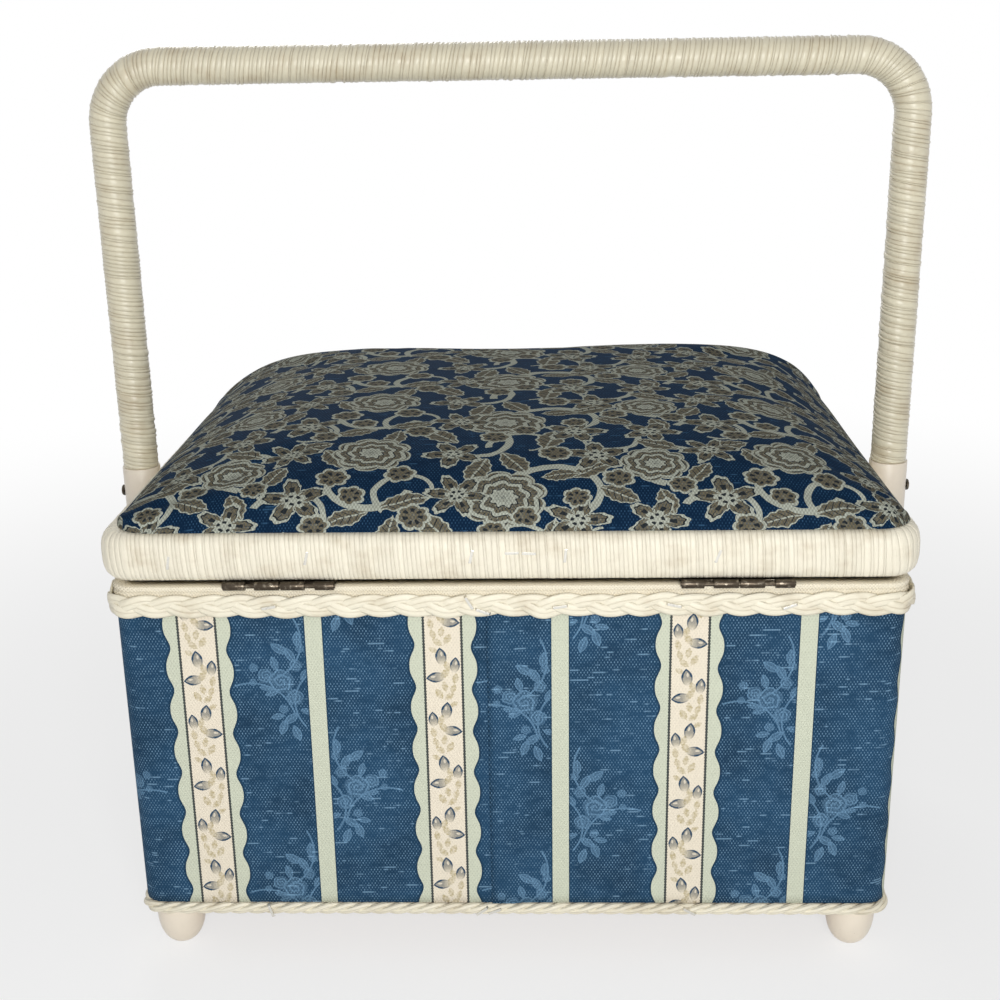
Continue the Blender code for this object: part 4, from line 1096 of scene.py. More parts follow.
@dataclass
class Walls:
    """Printed cloth, tape, braid, lower cord, staples and feet."""

    corner: float = 9 * MM
    cloth: float = 0.7 * MM
    overlap: float = 10 * MM
    lap_rise: float = 0.8 * MM
    lap_ramp: float = 2 * MM
    seam_place: float = -7.9 * MM
    print_start: float = 16.6 * MM
    print_round: float = 920 * MM
    print_ends: tuple[float, float] = (156.4 * MM, 140.6 * MM)
    print_drop: float = 10 * MM
    tape_reach: float = 3.1 * MM
    tape_thick: float = 0.8 * MM
    tape_hem: float = 7 * MM
    rib: float = 0.4 * MM
    rib_steps: int = 6
    ribs: int = 4
    braid_period: float = 36 * MM
    braid_out: float = 1.5 * MM
    braid_cross: float = 0.5 * MM
    braid_strand: tuple[float, float] = (1.15 * MM, 4.8 * MM)
    braid_slack: float = 0.16 * MM
    braid_joint: tuple[float, float] = (12 * MM, 5 * MM)
    cord_lay: float = 21 * MM
    cord_inset: float = 1.2 * MM
    ply: float = 0.54
    foot_flat: float = 3 * MM
    foot_dome: float = 13 * MM
    foot_rim: tuple = ((0.0, 0.85), (0.3 * MM, 0.96), (0.9 * MM, 1.0))
    braid_staples: tuple = ((-19.3, 0.0, 8), (-61, 0.4, -12), (-103, -0.3, 20), (14, 1.6, -60),
                            (9, -1.8, -20), (88, 0.2, 10))
    cord_staples: tuple = ((12, 0, 36), (7, 0, 21), (96, 0, 288), (-70, 0, -210))

    def build(self) -> None:
        """Build and dress each piece in turn."""
        low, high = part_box("printed_cover")
        self.low, self.top = low[2], high[2]
        self.ring = Ring(high[0], high[1], self.corner)
        self.print_cloth()
        self.tape()
        self.braid()
        self.lower_cord()
        self.staples()
        self.feet()

    def print_cloth(self) -> None:
        """One sheet round the walls, lapped over itself on the hinge side."""
        inside = Ring(self.ring.half_x - self.cloth, self.ring.half_y - self.cloth, self.corner - self.cloth)
        columns, rows = 330, 30
        around, whole = inside.length, inside.length + self.overlap
        start, end = self.print_ends
        stops = np.array((0, start, around - end, whole))
        repeats = self.print_round
        prints = np.array((0, start, repeats - end, repeats + self.overlap)) + self.print_start

        def place(column: Array, row: Array) -> Array:
            run = whole * column / columns
            lap = np.clip((self.overlap + self.lap_ramp - run) / self.lap_ramp, 0, 1)
            return inside.lay(run + self.seam_place, lap * self.lap_rise,
                              self.low + (self.top - self.low) * row / rows)

        def marks(column: Array, row: Array) -> Array:
            run = whole * column / columns
            drop = np.interp(run, (0, whole), (self.print_drop, 0))
            return stack(np.interp(run, stops, prints), self.low + (self.top - self.low) * row / rows + drop)

        sheet = woven("wall_print", columns, rows, place, marks, closed=False)
        use(sheet, "SOLIDIFY", thickness=self.cloth, offset=-1.0)
        settle(sheet, Body.BOX, STRIPE_CLOTH, "printed_fabric", "printed_cover")

    def tape(self) -> None:
        """Ribbed tape folded over the top edge."""
        low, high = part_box("rim_tape")
        reach, thick, tall = self.tape_reach, self.tape_thick, high[2] - low[2]
        ring = Ring(high[0] - reach, high[1] - reach, self.corner - reach)
        steps = self.ribs * self.rib_steps
        points = [(-reach, 0.0)]
        for step in range(steps + 1):
            bulge = self.rib * abs(math.sin(math.pi * step / self.rib_steps)) ** 0.6
            points.append((reach - self.rib + bulge, -tall * step / steps))
        points += [(reach - thick, -tall), (reach - thick, -thick), (thick - reach, -thick),
                   (thick - reach, -self.tape_hem), (-reach, -self.tape_hem)]
        section = Outline(points)
        shares = section.stops / section.length
        columns = 360

        def place(column: Array, row: Array) -> Array:
            spot = section.at(shares[row] * (1 - 1e-12))
            return ring.lay(ring.length * column / columns, spot[:, 0], high[2] + spot[:, 1])

        def marks(column: Array, row: Array) -> Array:
            return stack(shares[row] * section.length / MM / TAPE.step, ring.length * column / columns / MM)

        tape = woven("edge_tape", columns, len(shares) - 1, place, marks)
        settle(tape, Body.BOX, TAPE, "woven_tape", "rim_tape")
        section.length / 2
        ring.length

    def braid(self) -> None:
        """Plait of three flat strands, a little fuller where its ends meet."""
        low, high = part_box("top_braid")
        middle, half = (low[2] + high[2]) / 2, (high[2] - low[2]) / 2
        ring = Ring(*(size + self.braid_out for size in (self.ring.half_x, self.ring.half_y, self.corner)))
        swing = half - self.braid_strand[1] / 2 * 0.94
        loose = np.random.default_rng(5)
        sways = [(loose.normal(0, self.braid_slack), waves) for waves in (17, 31, 53)]
        (spot, spread), whole = self.braid_joint, ring.length

        def path(strand: int, run: Array, turn: Array) -> tuple[Array, Array]:
            angle = TAU * run / whole
            sway = sum(size * np.sin(angle * waves + waves) for size, waves in sways)
            joint = np.exp(-((np.mod(run + whole / 2, whole) - whole / 2 - spot) / spread) ** 2)
            loop = loose.normal(0, self.braid_slack) * np.sin(angle * (41 + 12 * strand))
            out = self.braid_cross * np.sin(2 * turn) + joint * 0.9 * MM
            return out, middle + sway + loop + swing * np.sin(turn) * (1 + 0.1 * joint)

        settle(three_strands("braid", ring, self.braid_period, 30, self.braid_strand, 4.0, path),
               Body.BOX, PLAIT_CORD, "paper_cord", "top_braid")

    def lower_cord(self) -> None:
        """Twisted cord of three plies round the foot of the walls."""
        low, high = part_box("bottom_cord")
        radius = (high[2] - low[2]) / 2
        ring = Ring(high[0] - radius, high[1] - radius, self.corner - self.cord_inset)
        ply = radius * self.ply
        reach = radius - ply

        def path(strand: int, run: Array, turn: Array) -> tuple[Array, Array]:
            return reach * np.cos(turn), low[2] + radius + reach * np.sin(turn)

        settle(three_strands("lower_cord", ring, self.cord_lay, 20, (2 * ply, 2 * ply), 5.0, path),
               Body.BOX, PLAIT_CORD, "paper_cord", "bottom_cord")

    def staples(self) -> None:
        """Staples through the braid and the lower cord."""
        spots = []
        for node, proud, rows in (("top_braid", 0.55 * MM, self.braid_staples),
                                  ("bottom_cord", 0.2 * MM, self.cord_staples)):
            low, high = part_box(node)
            spots += [(x * MM, high[1] + proud, (low[2] + high[2]) / 2 + rise * MM, 0.0, turn)
                      for x, rise, turn in rows]
        stapled("wall_staples", Body.BOX, spots)

    def feet(self) -> None:
        """Domed feet, each turned in its own place."""
        for side in ("front_right", "front_left", "rear_left", "rear_right"):
            low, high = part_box(f"foot_{side}")
            middle = (Vector(low) + Vector(high)) / 2
            foot = self.foot(f"domed_foot_{side}", middle, (high[0] - low[0]) / 2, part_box("base_board")[0][2])
            settle(foot, Body.BOX, PALE_PLASTIC, "pale_plastic", f"foot_{side}")

    def foot(self, name: str, middle: Vector, radius: float, tall: float) -> Piece:
        """A turned foot that is a dome below."""
        turns = np.linspace(0, math.pi / 2, 10)
        domed = self.foot_flat + (radius - self.foot_flat) * np.sin(turns)
        profile = [(0.0, 0.0), *zip(domed, self.foot_dome * (1 - np.cos(turns))),
                   *((radius - cut, tall * share) for cut, share in self.foot_rim), (0.0, tall)]
        out, up = np.array(profile).T
        columns = 48

        def place(column: Array, row: Array) -> Array:
            angle = TAU * column / columns
            return stack(middle.x + out[row] * np.cos(angle), middle.y + out[row] * np.sin(angle), up[row])

        return woven(name, columns, len(profile) - 1, place,
                     lambda column, row: stack(column / columns, up[row]))


def round_edges(piece: Piece, wanted: Callable[[Vector], bool], width: float, segments: int) -> None:
    """Round the edges whose two ends are wanted."""
    with editing(piece, "DESELECT"):
        bpy.ops.object.mode_set(mode="OBJECT")
        for edge in piece.data.edges:
            edge.select = all(wanted(piece.data.vertices[index].co) for index in edge.vertices)
        bpy.ops.object.mode_set(mode="EDIT")
        bpy.ops.mesh.select_mode(type="EDGE")
        bpy.ops.mesh.bevel(offset=width, segments=segments, affect="EDGES")


def staple(place: Vector, heading: float, turn: float, crown: float = 6 * MM) -> Piece:
    """A staple whose crown shows, facing out of a wall.

    Args:
        place: the crown's middle.
        heading: the wall's turn about Z, 0 for the hinge side.
        turn: the crown's turn from level, in degrees.
        crown: its length.

    Returns:
        The staple, at the origin's frame.
    """
    thick, wide, sunk, rounding = 0.5 * MM, 1.05 * MM, 1.0 * MM, 0.14 * MM
    bend, past_bend = crown * 0.42, crown * 0.45
    deselect()
    bpy.ops.mesh.primitive_cube_add(size=1, calc_uvs=False)
    item = bpy.context.active_object
    item.scale = (crown, thick, wide)
    bpy.ops.object.transform_apply(scale=True)
    for side in (1, -1):
        with editing(item):
            bpy.ops.mesh.bisect(plane_co=(side * bend, 0, 0), plane_no=(1, 0, 0))
    for corner in item.data.vertices:
        if abs(corner.co.x) > past_bend:
            corner.co.y -= sunk
    use(item, "BEVEL", width=rounding, segments=2)
    spin = Matrix.Rotation(math.radians(heading), 4, "Z") @ Matrix.Rotation(math.radians(turn), 4, "Y")
    item.data.transform(Matrix.Translation(place) @ spin)
    return item


def stapled(name: str, body: Body, spots: Sequence[tuple[float, ...]]) -> None:
    """Dress staples as one piece, from each crown's x, y and z, its wall's heading and its own turn."""
    fitted = [staple(Vector(place), heading, turn) for *place, heading, turn in spots]
    settle(joined(name, fitted), body, STEEL, "bronze")


@dataclass
class Lid:
    """Wound rim, crowned pad, lining, pincushion and rim staples."""

    corner: float = 13 * MM
    round: float = 6 * MM
    depth: float = 5.8 * MM
    pitch: float = 1.6 * MM
    inset: tuple[float, float] = (3.3 * MM, 2.0 * MM)
    crown: float = 36.0 * MM
    end_slope: tuple[float, float] = (26.5 * MM, 1.15)
    hinge_slope: tuple[float, float] = (48 * MM, 0.62)
    front_slope: tuple[float, float] = (7 * MM, 1.25)
    pad_corner: float = 15 * MM
    fuller: tuple[float, float] = (0.48, 0.24)
    lip: float = 2.3 * MM
    lip_soft: float = 0.8 * MM
    corner_drop: float = 0.15 * MM
    drawn_in: float = 0.984
    board_share: float = 0.975
    foot: float = 1.6 * MM
    crowding: float = 1.2
    pressure: float = 4.0
    cap: float = 1.6 * MM
    hinge_staples: tuple = ((123.9, 169.4, 80), (73.1, 170.9, 76), (12.9, 171.2, 78), (-21.3, 171.4, 84),
                            (-76.4, 170.8, 68), (-1.9, 172.5, 2), (-8.1, 172.3, 178))
    front_staples: tuple = ((110, 170.6, 82), (30, 170.6, 75), (-48, 170.6, 86), (-118, 170.6, 78))

    def build(self) -> None:
        """Build and dress each piece in turn."""
        self.low, self.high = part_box("rim_winding")
        self.rim()
        self.pad()
        self.lining()
        self.pincushion()
        self.staples()

    def section(self) -> Outline:
        """Outer outline of the wound rim."""
        rise = (self.high[2] - self.low[2]) / 2
        points = [(-self.depth, rise)]
        for step in range(17):
            angle = math.pi / 2 - math.pi * step / 16
            lift = math.copysign(abs(math.sin(angle)) ** 0.7, math.sin(angle))
            points.append((self.round * abs(math.cos(angle)) ** 0.7, rise * lift))
        points.append((-self.depth, -rise))
        return Outline(points)

    def rim(self) -> None:
        """Paper strand wound round the lid's ring."""
        ring = Ring(self.high[0] - self.round, self.high[1] - self.round, self.corner - self.round)
        section = self.section()
        winding = Winding(round(ring.length / self.pitch), relief=0.15 * MM, unevenness=0.07 * MM, seed=11,
                          starts=2, wander=0.24)
        middle = (self.low[2] + self.high[2]) / 2
        rows = 26

        def place(column: Array, row: Array) -> Array:
            phase, share = winding.phase(column), row / rows
            spot = section.at(share) + section.facing(share) * winding.height(phase, share)[:, None]
            run = (phase + winding.drift(phase, share)) * ring.length / winding.turns
            return ring.lay(run, spot[:, 0], middle + spot[:, 1])

        def marks(column: Array, row: Array) -> Array:
            return stack(winding.phase(column), row / rows * section.length / MM)

        rim = woven("rim_strand", winding.turns * len(winding.spots), rows, place, marks)
        settle(rim, Body.LID, RIM_CORD, "paper_cord", "rim_winding")

    def height(self, x: Array, y: Array, halves: Sequence[float]) -> Array:
        """Rise of the crown at places in plan: gentle from the ends and the hinges, steep from the front."""
        edge = np.maximum(np.minimum(halves[0] - np.abs(x), halves[1] - np.abs(y)), 0)
        lip = self.lip * (1 - np.exp(-edge / self.lip_soft))
        rise = self.crown - lip
        full = 1 - np.where(x < 0, *self.fuller) * np.abs(x) / halves[0] * np.clip(-y / halves[1], 0, 1)
        gaps = ((halves[0] - np.abs(x)) / full, halves[1] - y, (halves[1] + y) / full)
        for gap, (soft, power) in zip(gaps, (self.end_slope, self.hinge_slope, self.front_slope)):
            rise = rise * (1 - np.exp(-(np.maximum(gap, 0) / soft) ** power))
        return lip + rise

    def pad(self) -> None:
        """Padded printed top, blown up a little by a cloth simulation."""
        halves = self.high[0] - self.inset[0], self.high[1] - self.inset[1]
        columns, rows = counts = 112, 74
        seat = self.high[2] + 0.2 * MM
        foot, corner, crowding = self.high[2] + self.foot, self.pad_corner, self.crowding

        def place(column: Array, row: Array) -> Array:
            across = (np.clip((at - 1) / (count - 2) * 2 - 1, -1, 1)
                      for at, count in zip((column, row), counts))
            plan = [np.sin(at * crowding) / math.sin(crowding) * half for at, half in zip(across, halves)]
            over = [(np.abs(at) - (half - corner)) / corner for at, half in zip(plan, halves)]
            both = (over[0] > 0) & (over[1] > 0)
            a, b = (np.where(both, at, 0) for at in over)
            bent = [half - corner + corner * one * np.sqrt(1 - other ** 2 / 2)
                    for half, one, other in zip(halves, (a, b), (b, a))]
            x, y = (np.where(both, np.sign(at) * far, at) for at, far in zip(plan, bent))
            rise = self.height(x, y, halves)
            x = np.where(x > 0, x * self.drawn_in, x)
            end_x, end_y = (column == 0) | (column == columns), (row == 0) | (row == rows)
            level = np.where(end_x & end_y, seat - self.corner_drop, seat)
            return stack(x, y, np.where(end_x | end_y, level, foot + rise))

        pad = woven("lid_pad", columns, rows, place, lambda column, row: stack(column, row), closed=False)
        self.inflate(pad)
        self.mark_pad(pad, columns, rows)
        use(pad, "SUBSURF", levels=1, render_levels=1)
        close_edge(pad)
        with editing(pad):
            bpy.ops.mesh.normals_make_consistent(inside=False)
        bpy.ops.object.shade_smooth_by_angle(angle=math.radians(75))
        settle(pad, Body.LID, FLOWER_CLOTH, "lid_fabric", "pad_cover", "pad_foam")
        board = refined("eased_lid_board", "lid_board", 2.4 * MM)
        board.data.transform(Matrix.Diagonal((self.board_share, 1, 1, 1)))
        settle(board, Body.LID, BOARD, "box_board", "lid_board")

    def inflate(self, pad: Piece) -> None:
        """Blow the pad up, its hem held, no point further than the cap."""
        before = corners_of(pad)
        hem = [index for index, place in enumerate(before) if place[2] < self.high[2] + 1 * MM]
        held = pad.vertex_groups.new(name="hem")
        held.add(hem, 1.0, "REPLACE")
        cloth = pad.modifiers.new("cloth", "CLOTH")
        cloth.settings.effector_weights.gravity = 0
        for key, value in {"quality": 6, "mass": 0.15, "tension_stiffness": 30, "compression_stiffness": 30,
                           "bending_stiffness": 1.5, "vertex_group_mass": held.name, "use_pressure": True,
                           "uniform_pressure_force": self.pressure}.items():
            setattr(cloth.settings, key, value)
        scene = bpy.context.scene
        for step in range(1, 21):
            scene.frame_set(step)
        move = corners_of(pad.evaluated_get(bpy.context.evaluated_depsgraph_get())) - before
        far = np.linalg.norm(move, axis=1, keepdims=True)
        LOG.info("pad moved %.1f mm at most, %.1f mm on average", far.max() / MM, far.mean() / MM)
        move *= np.minimum(1, self.cap / np.maximum(far, 1e-9))
        pad.modifiers.remove(cloth)
        pad.vertex_groups.clear()
        pad.data.vertices.foreach_set("co", (before + move).astype(np.float32).ravel())
        pad.data.update()
        scene.frame_set(1)

    @staticmethod
    def mark_pad(pad: Piece, columns: int, rows: int) -> None:
        """Cloth coordinates as lengths over the crown, from its middle."""
        spots = corners_of(pad).reshape(rows + 1, columns + 1, 3)
        lengths = []
        for axis, half in ((1, columns // 2), (0, rows // 2)):
            step = np.linalg.norm(np.diff(spots, axis=axis), axis=2)
            run = np.concatenate((np.zeros_like(np.take(step, [0], axis)), np.cumsum(step, axis)), axis)
            lengths.append(run - np.take(run, [half], axis))
        mark_cloth(pad, -np.stack(lengths, axis=-1).reshape(-1, 2))

    def lining(self) -> None:
        """Satin panel inside the lid."""
        low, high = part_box("lid_lining")
        panel = soft_panel("lid_satin", (low, high), 1.5 * MM, -1)
        settle(panel, Body.LID, SATIN, "lining_card", "lid_lining")

    def pincushion(self) -> None:
        """Round satin cushion with gathers, sewn inside the lid."""
        low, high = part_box("pincushion")
        radius, deep = (high[0] - low[0]) / 2, high[2] - low[2]
        columns, rows = 96, 22
        gathers, fold_deep, length, girth = 16, 0.02, 0.19, 0.06

        def place(column: Array, row: Array) -> Array:
            angle, climb = TAU * column / columns, math.pi * row / rows
            reach = np.sin(climb) ** 0.7
            fold = 1 + fold_deep * np.sin(angle * gathers) * np.sin(climb)
            fall = np.where(climb < math.pi / 2, 0, np.abs(np.cos(climb)) ** 0.8)
            return stack(radius * reach * fold * np.cos(angle), radius * reach * fold * np.sin(angle),
                         high[2] - deep * fall * (1 - 0.03 * np.cos(angle * gathers) * reach))

        cushion = woven("satin_pincushion", columns, rows, place,
                        lambda column, row: stack(column / columns * length, row / rows * girth))
        settle(cushion, Body.LID, SATIN, "satin", "pincushion")

    def staples(self) -> None:
        """Staples through the rim's winding."""
        face = self.high[1] - 0.2 * MM
        stapled("rim_staples", Body.LID, [
            (x * MM, side * face, z * MM, heading, turn)
            for side, heading, rows in ((1, 0.0, self.hinge_staples), (-1, 180.0, self.front_staples))
            for x, z, turn in rows])


def soft_panel(name: str, box: tuple[Sequence[float], Sequence[float]], swell: float, side: int) -> Piece:
    """A covered card with rounded edges, swelling on one side.

    Args:
        name: the piece's name.
        box: its lowest and highest corners.
        swell: how far the middle stands out.
        side: 1 to swell upwards and -1 downwards.

    Returns:
        The panel.
    """
    low, high = (Vector(corner) for corner in box)
    size = high - low
    columns, rows = 72, 48
    pucker_deep, pucker_rate, pucker_reach, swell_reach, pulled = 0.25 * MM, 0.55, 12 * MM, 14 * MM, 0.6 * MM
    flat = low.z if side > 0 else high.z
    face = high.z - swell if side > 0 else low.z + swell

    def place(column: Array, row: Array) -> Array:
        u, v = np.clip((column - 2) / (columns - 4), 0, 1), np.clip((row - 2) / (rows - 4), 0, 1)
        near = np.minimum(np.minimum(u, 1 - u) * size.x, np.minimum(v, 1 - v) * size.y)
        pucker = pucker_deep * np.sin(u * size.x / MM * pucker_rate) * np.exp(-near / pucker_reach)
        rise = swell * (1 - np.exp(-near / swell_reach)) + pucker * (near > 0)
        ring = np.minimum(np.minimum(column, columns - column), np.minimum(row, rows - row))
        z = np.where(ring >= 2, face + side * rise, np.where(ring == 1, face, flat))
        pull = np.where(ring == 0, pulled, 0.0)
        x, y = (start + share * whole - np.sign(share - 0.5) * pull
                for start, share, whole in ((low.x, u, size.x), (low.y, v, size.y)))
        return stack(x, y, z)

    panel = woven(name, columns, rows, place,
                  lambda column, row: stack(column / columns * size.x, row / rows * size.y), closed=False)
    close_edge(panel)
    clean(panel, 0.01 * MM)
    return panel


@dataclass
class Interior:
    """Lining of the walls, floor panel, tray, ledges and boards."""

    corner: float = 4 * MM
    inset: float = 0.4 * MM
    satin: float = 0.35 * MM
    gathers: range = range(60, 130, 6)
    gather_size: tuple[float, float] = (0.03, 0.09)

    def build(self) -> None:
        """Build and dress each piece in turn."""
        self.wall_satin()
        floor = soft_panel("floor_satin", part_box("floor_panel"), 0.8 * MM, 1)
        settle(floor, Body.BOX, SATIN, "lining_card", "floor_panel")
        tray = refined("tray_moulding", "tray", 0.5 * MM)
        settle(tray, Body.TRAY, TRAY_PLASTIC, "tray_plastic", "tray")
        dress(BOARD, "base_board", "wall_shell", "lid_frame", "tray_ledge_left", "tray_ledge_right")

    def wall_satin(self) -> None:
        """Satin round the inside of the walls, gathered a little."""
        low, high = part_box("wall_lining")
        ring = Ring(high[0] - self.inset, high[1] - self.inset, self.corner)
        tall = high[2] - low[2]
        columns, rows = 480, 26
        loose = np.random.default_rng(3)
        waves = [(turn, loose.uniform(0, TAU), loose.uniform(*self.gather_size) * MM)
                 for turn in self.gathers]

        def place(column: Array, row: Array) -> Array:
            run = ring.length * column / columns
            share = row / rows
            gather = sum(size * np.sin(TAU * turn * column / columns + start + share * 1.5)
                         for turn, start, size in waves)
            out = gather * np.sin(np.pi * np.clip(share, 0.02, 0.98)) - 0.1 * MM
            return ring.lay(run, out, low[2] + tall * share)

        sheet = woven("wall_satin", columns, rows, place,
                      lambda column, row: stack(ring.length * column / columns, tall * row / rows))
        use(sheet, "SOLIDIFY", thickness=self.satin, offset=0.0)
        settle(sheet, Body.BOX, SATIN, "satin", "wall_lining")
        ring.length


@dataclass
class Hinges:
    """Barrel hinges and their pins."""

    def build(self) -> None:
        """Dress the pins and give each leaf a rounded copy."""
        for side in ("left", "right"):
            dress(BRONZE, f"hinge_{side}_pin")
            for leaf, body in (("box_leaf", Body.BOX), ("lid_leaf", Body.LID)):
                piece = refined(f"hinge_{side}_{leaf}_rounded", f"hinge_{side}_{leaf}", 0.12 * MM, 50.0)
                settle(piece, body, BRONZE, "bronze", f"hinge_{side}_{leaf}")


@dataclass
class Handle:
    """Wound handle with its sockets, screws and pivots."""

    bend: float = 22.6 * MM
    pitch: float = 1.75 * MM
    starts: int = 4
    rows: int = 24
    screw_shank: float = 0.45
    screw_head: float = 0.42
    screw_slot: tuple[float, float, float] = (2.2, 0.26, 0.5)

    def build(self) -> None:
        """Build and dress each piece in turn."""
        self.strand()
        dress(STEEL, "handle_tube")
        for side, sign in (("left", -1), ("right", 1)):
            socket = refined(f"socket_{side}", f"handle_socket_{side}", 0.45 * MM)
            settle(socket, Body.HANDLE, PALE_PLASTIC, "pale_plastic", f"handle_socket_{side}")
            self.screw(f"socket_screw_{side}", f"tube_screw_{side}", sign, Body.HANDLE)
            self.screw(f"pivot_screw_{side}", f"pivot_head_{side}", sign, Body.BOX)
            dress(PALE_PLASTIC, f"pivot_spacer_{side}")
            dress(BRONZE, f"pivot_nut_{side}")

    def line(self, along: Array) -> tuple[Array, Array]:
        """Points and outward directions on the handle's middle line."""
        low, high = self.box
        radius = (high[1] - low[1]) / 2
        reach, top, foot = high[0] - radius, high[2] - radius, low[2]
        leg, bend = top - self.bend - foot, self.bend * math.pi / 2
        half = leg + bend + reach - self.bend
        side = np.where(along < half, -1.0, 1.0)
        rest = np.minimum(along, 2 * half - along)
        angle = np.clip((rest - leg) / self.bend, 0, math.pi / 2)
        rise = np.minimum(rest, leg)
        over = np.maximum(rest - leg - bend, 0)
        x = side * (reach - self.bend + self.bend * np.cos(angle) - over)
        z = foot + rise + self.bend * np.sin(angle)
        facing = stack(side * np.cos(angle), 0.0, np.sin(angle))
        self.length = 2 * half
        return stack(x, 0.0, z), facing

    def strand(self) -> None:
        """Paper strand wound round the tube from one socket to the other."""
        self.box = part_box("handle_winding")
        radius = (self.box[1][1] - self.box[0][1]) / 2
        self.line(np.zeros(1))
        winding = Winding(round(self.length / self.pitch), relief=0.3 * MM, unevenness=0.13 * MM, seed=23,
                          starts=self.starts, wander=0.3)
        spots = len(winding.spots)
        last = (winding.turns + self.starts) * spots
        pitch = self.length / winding.turns

        def run(column: Array, share: Array) -> tuple[Array, Array]:
            phase = winding.phase(np.clip(column - 1, 0, last - 1)) - self.starts
            return phase, np.clip((phase + winding.drift(phase, share)) * pitch, 0, self.length)

        def place(column: Array, row: Array) -> Array:
            share = row / self.rows
            phase, along = run(column, share)
            along = np.where(column > last, self.length, np.where(column == 0, 0, along))
            fade = np.clip(np.minimum(along, self.length - along) / (0.4 * pitch), 0, 1)
            size = radius + winding.height(np.mod(phase, winding.turns), share) * fade
            size = np.where((column == 0) | (column > last), 0, size)
            middle, facing = self.line(along)
            angle = TAU * share + math.pi
            across = facing * np.cos(angle)[:, None] + np.array((0, 1.0, 0)) * np.sin(angle)[:, None]
            return middle + across * size[:, None]

        def marks(column: Array, row: Array) -> Array:
            phase, _ = run(column, row / self.rows)
            return stack(phase + self.starts, row / self.rows * TAU * radius / MM)

        strand = woven("handle_strand", last + 1, self.rows, place, marks)
        settle(strand, Body.HANDLE, HANDLE_CORD, "paper_cord", "handle_winding")

    def screw(self, node: str, name: str, sign: int, body: Body) -> None:
        """A slotted pan head over a plain shank."""
        low, high = (Vector(corner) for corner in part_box(node))
        middle = (low + high) / 2
        head = high.x if sign > 0 else -low.x
        radius = (high.y - low.y) / 2
        tall = radius * self.screw_head
        inner = -high.x if sign < 0 else low.x
        deselect()
        bpy.ops.mesh.primitive_cylinder_add(vertices=40, radius=radius, depth=tall, calc_uvs=False)
        item = bpy.context.active_object
        item.name = name
        round_edges(item, lambda place: place.z > tall / 2 - 1e-7, tall * 0.75, 5)
        bpy.ops.mesh.primitive_cube_add(size=1, calc_uvs=False)
        slot = bpy.context.active_object
        slot.scale = [size * share for size, share in zip((radius, radius, tall), self.screw_slot)]
        slot.location.z = tall / 2
        slot.rotation_euler.z = 0.6
        bpy.context.view_layer.update()
        use(item, "BOOLEAN", operation="DIFFERENCE", solver="EXACT", object=slot)
        bpy.data.objects.remove(slot, do_unlink=True)
        deselect()
        long = head - inner - tall * 0.8
        bpy.ops.mesh.primitive_cylinder_add(vertices=24, radius=radius * self.screw_shank, depth=long,
                                            location=(0, 0, -tall * 0.3 - long / 2), calc_uvs=False)
        pin = bpy.context.active_object
        bpy.ops.object.transform_apply(location=True)
        item = joined(name, (item, pin))
        turn = Matrix.Rotation(math.radians(90 * sign), 4, "Y")
        item.data.transform(Matrix.Translation((sign * (head - tall / 2), middle.y, middle.z)) @ turn)
        activate(item)
        bpy.ops.object.shade_smooth_by_angle(angle=math.radians(35))
        settle(item, body, BRONZE, "bronze", node)


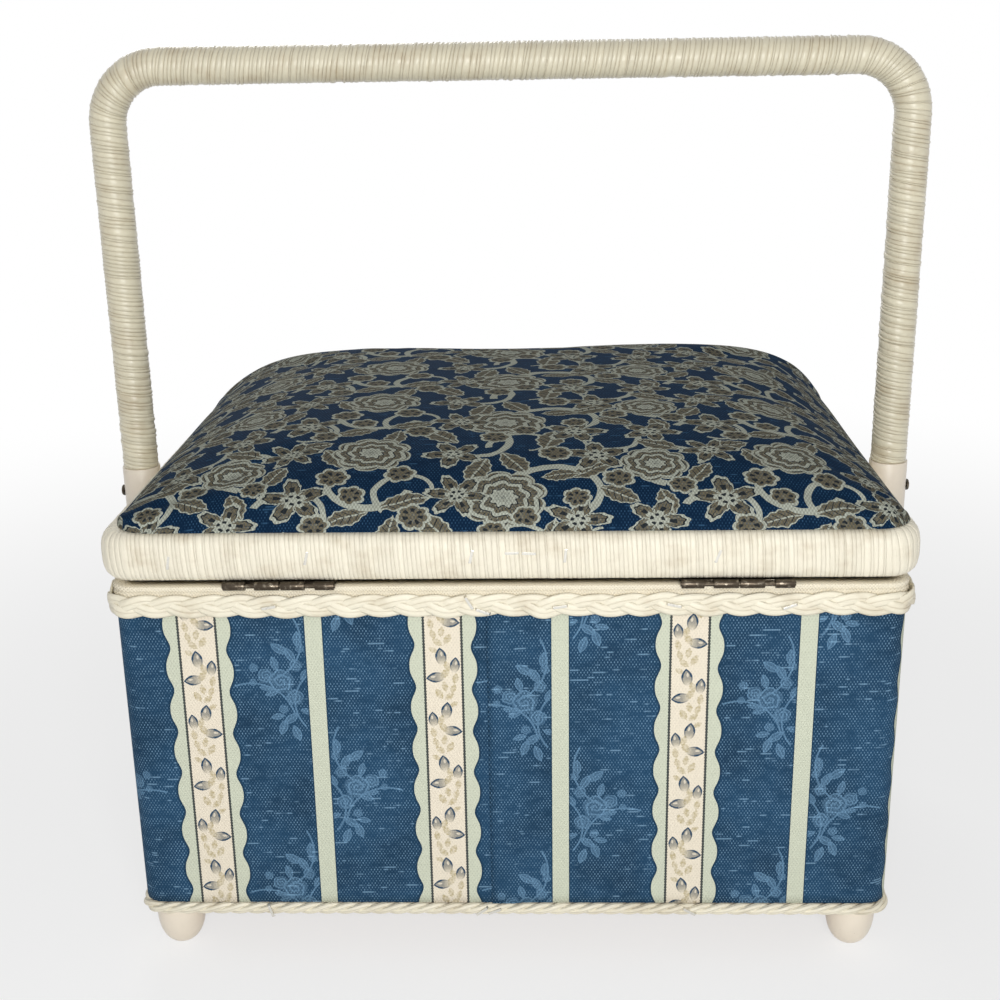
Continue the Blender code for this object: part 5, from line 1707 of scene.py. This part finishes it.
@dataclass
class Studio:
    """Camera at the photograph's view, soft lights, floor and backdrop."""

    lens: float = 50.4
    sensor: float = 36.0
    place: tuple[float, float, float] = (0.0137, -0.5748, 0.346)
    yaw: float = -0.033
    pitch: float = 0.311
    roll: float = -0.017
    ambient: float = 0.33
    key: float = 3.55
    fill: float = 3.3

    def build(self) -> None:
        """Set up all that isn't the basket."""
        self.camera()
        self.world()
        self.floor()
        self.lamp("key", (-0.06, 0.76, 0.36), 0.3, self.key)
        self.lamp("back", (0.3, -1.0, 0.8), 0.6, self.fill)
        bpy.context.scene.view_settings.view_transform = "Standard"

    def camera(self) -> None:
        """Camera fitted to the photograph, turned to the part's own frame."""
        yaw, pitch, roll = self.yaw, self.pitch, self.roll
        ahead = Vector((math.sin(yaw) * math.cos(pitch), math.cos(yaw) * math.cos(pitch), -math.sin(pitch)))
        right = Vector((math.cos(yaw), -math.sin(yaw), 0))
        up = right.cross(ahead)
        right, up = (right * math.cos(roll) + up * math.sin(roll),
                     up * math.cos(roll) - right * math.sin(roll))
        data = bpy.data.cameras.new("camera")
        data.lens, data.sensor_width = self.lens, self.sensor
        data.clip_start, data.clip_end = 0.01, 50
        camera = bpy.data.objects.new("camera", data)
        bpy.context.scene.collection.objects.link(camera)
        turn = Matrix((right, up, -ahead)).transposed().to_4x4()
        around = Matrix.Rotation(math.pi, 4, "Z")
        camera.matrix_world = around @ Matrix.Translation(self.place) @ turn
        bpy.context.scene.camera = camera

    def world(self) -> None:
        """Soft light all round and a white background."""
        world = bpy.data.worlds.new("studio")
        bpy.context.scene.world = world
        world.use_nodes = True
        g = Graph(world.node_tree)
        strength = g.node("Mix", {}, {0: g.seen(), 2: self.ambient, 3: 1.0})
        g.close(g.node("Background", {}, {"Color": (1, 1, 1, 1), "Strength": strength}), "World")

    def floor(self) -> None:
        """Pale floor that keeps the shadow and fades into the background."""
        deselect()
        bpy.ops.mesh.primitive_circle_add(vertices=96, radius=6, fill_type="NGON", location=(0, 0, -0.0002))
        floor = bpy.context.active_object
        floor.name = "floor"
        floor.data.materials.append(FLOOR.material)

    def lamp(self, name: str, place: Sequence[float], size: float, power: float) -> None:
        """A square soft light aimed at the basket."""
        data = bpy.data.lights.new(name, "AREA")
        data.shape, data.size, data.energy = "SQUARE", size, power
        lamp = bpy.data.objects.new(name, data)
        bpy.context.scene.collection.objects.link(lamp)
        aim = Vector((0, 0, 0.15)) - Vector(place)
        lamp.matrix_world = Matrix.Translation(place) @ aim.to_track_quat("-Z", "Y").to_matrix().to_4x4()


def main() -> None:
    """Build the studio and every piece."""
    logging.basicConfig(level=logging.INFO, format="%(relativeCreated)d %(message)s")
    for part in (Studio(), Walls(), Lid(), Interior(), Hinges(), Handle()):
        LOG.info("building %s", type(part).__name__)
        part.build()


if __name__ == "__main__":
    main()
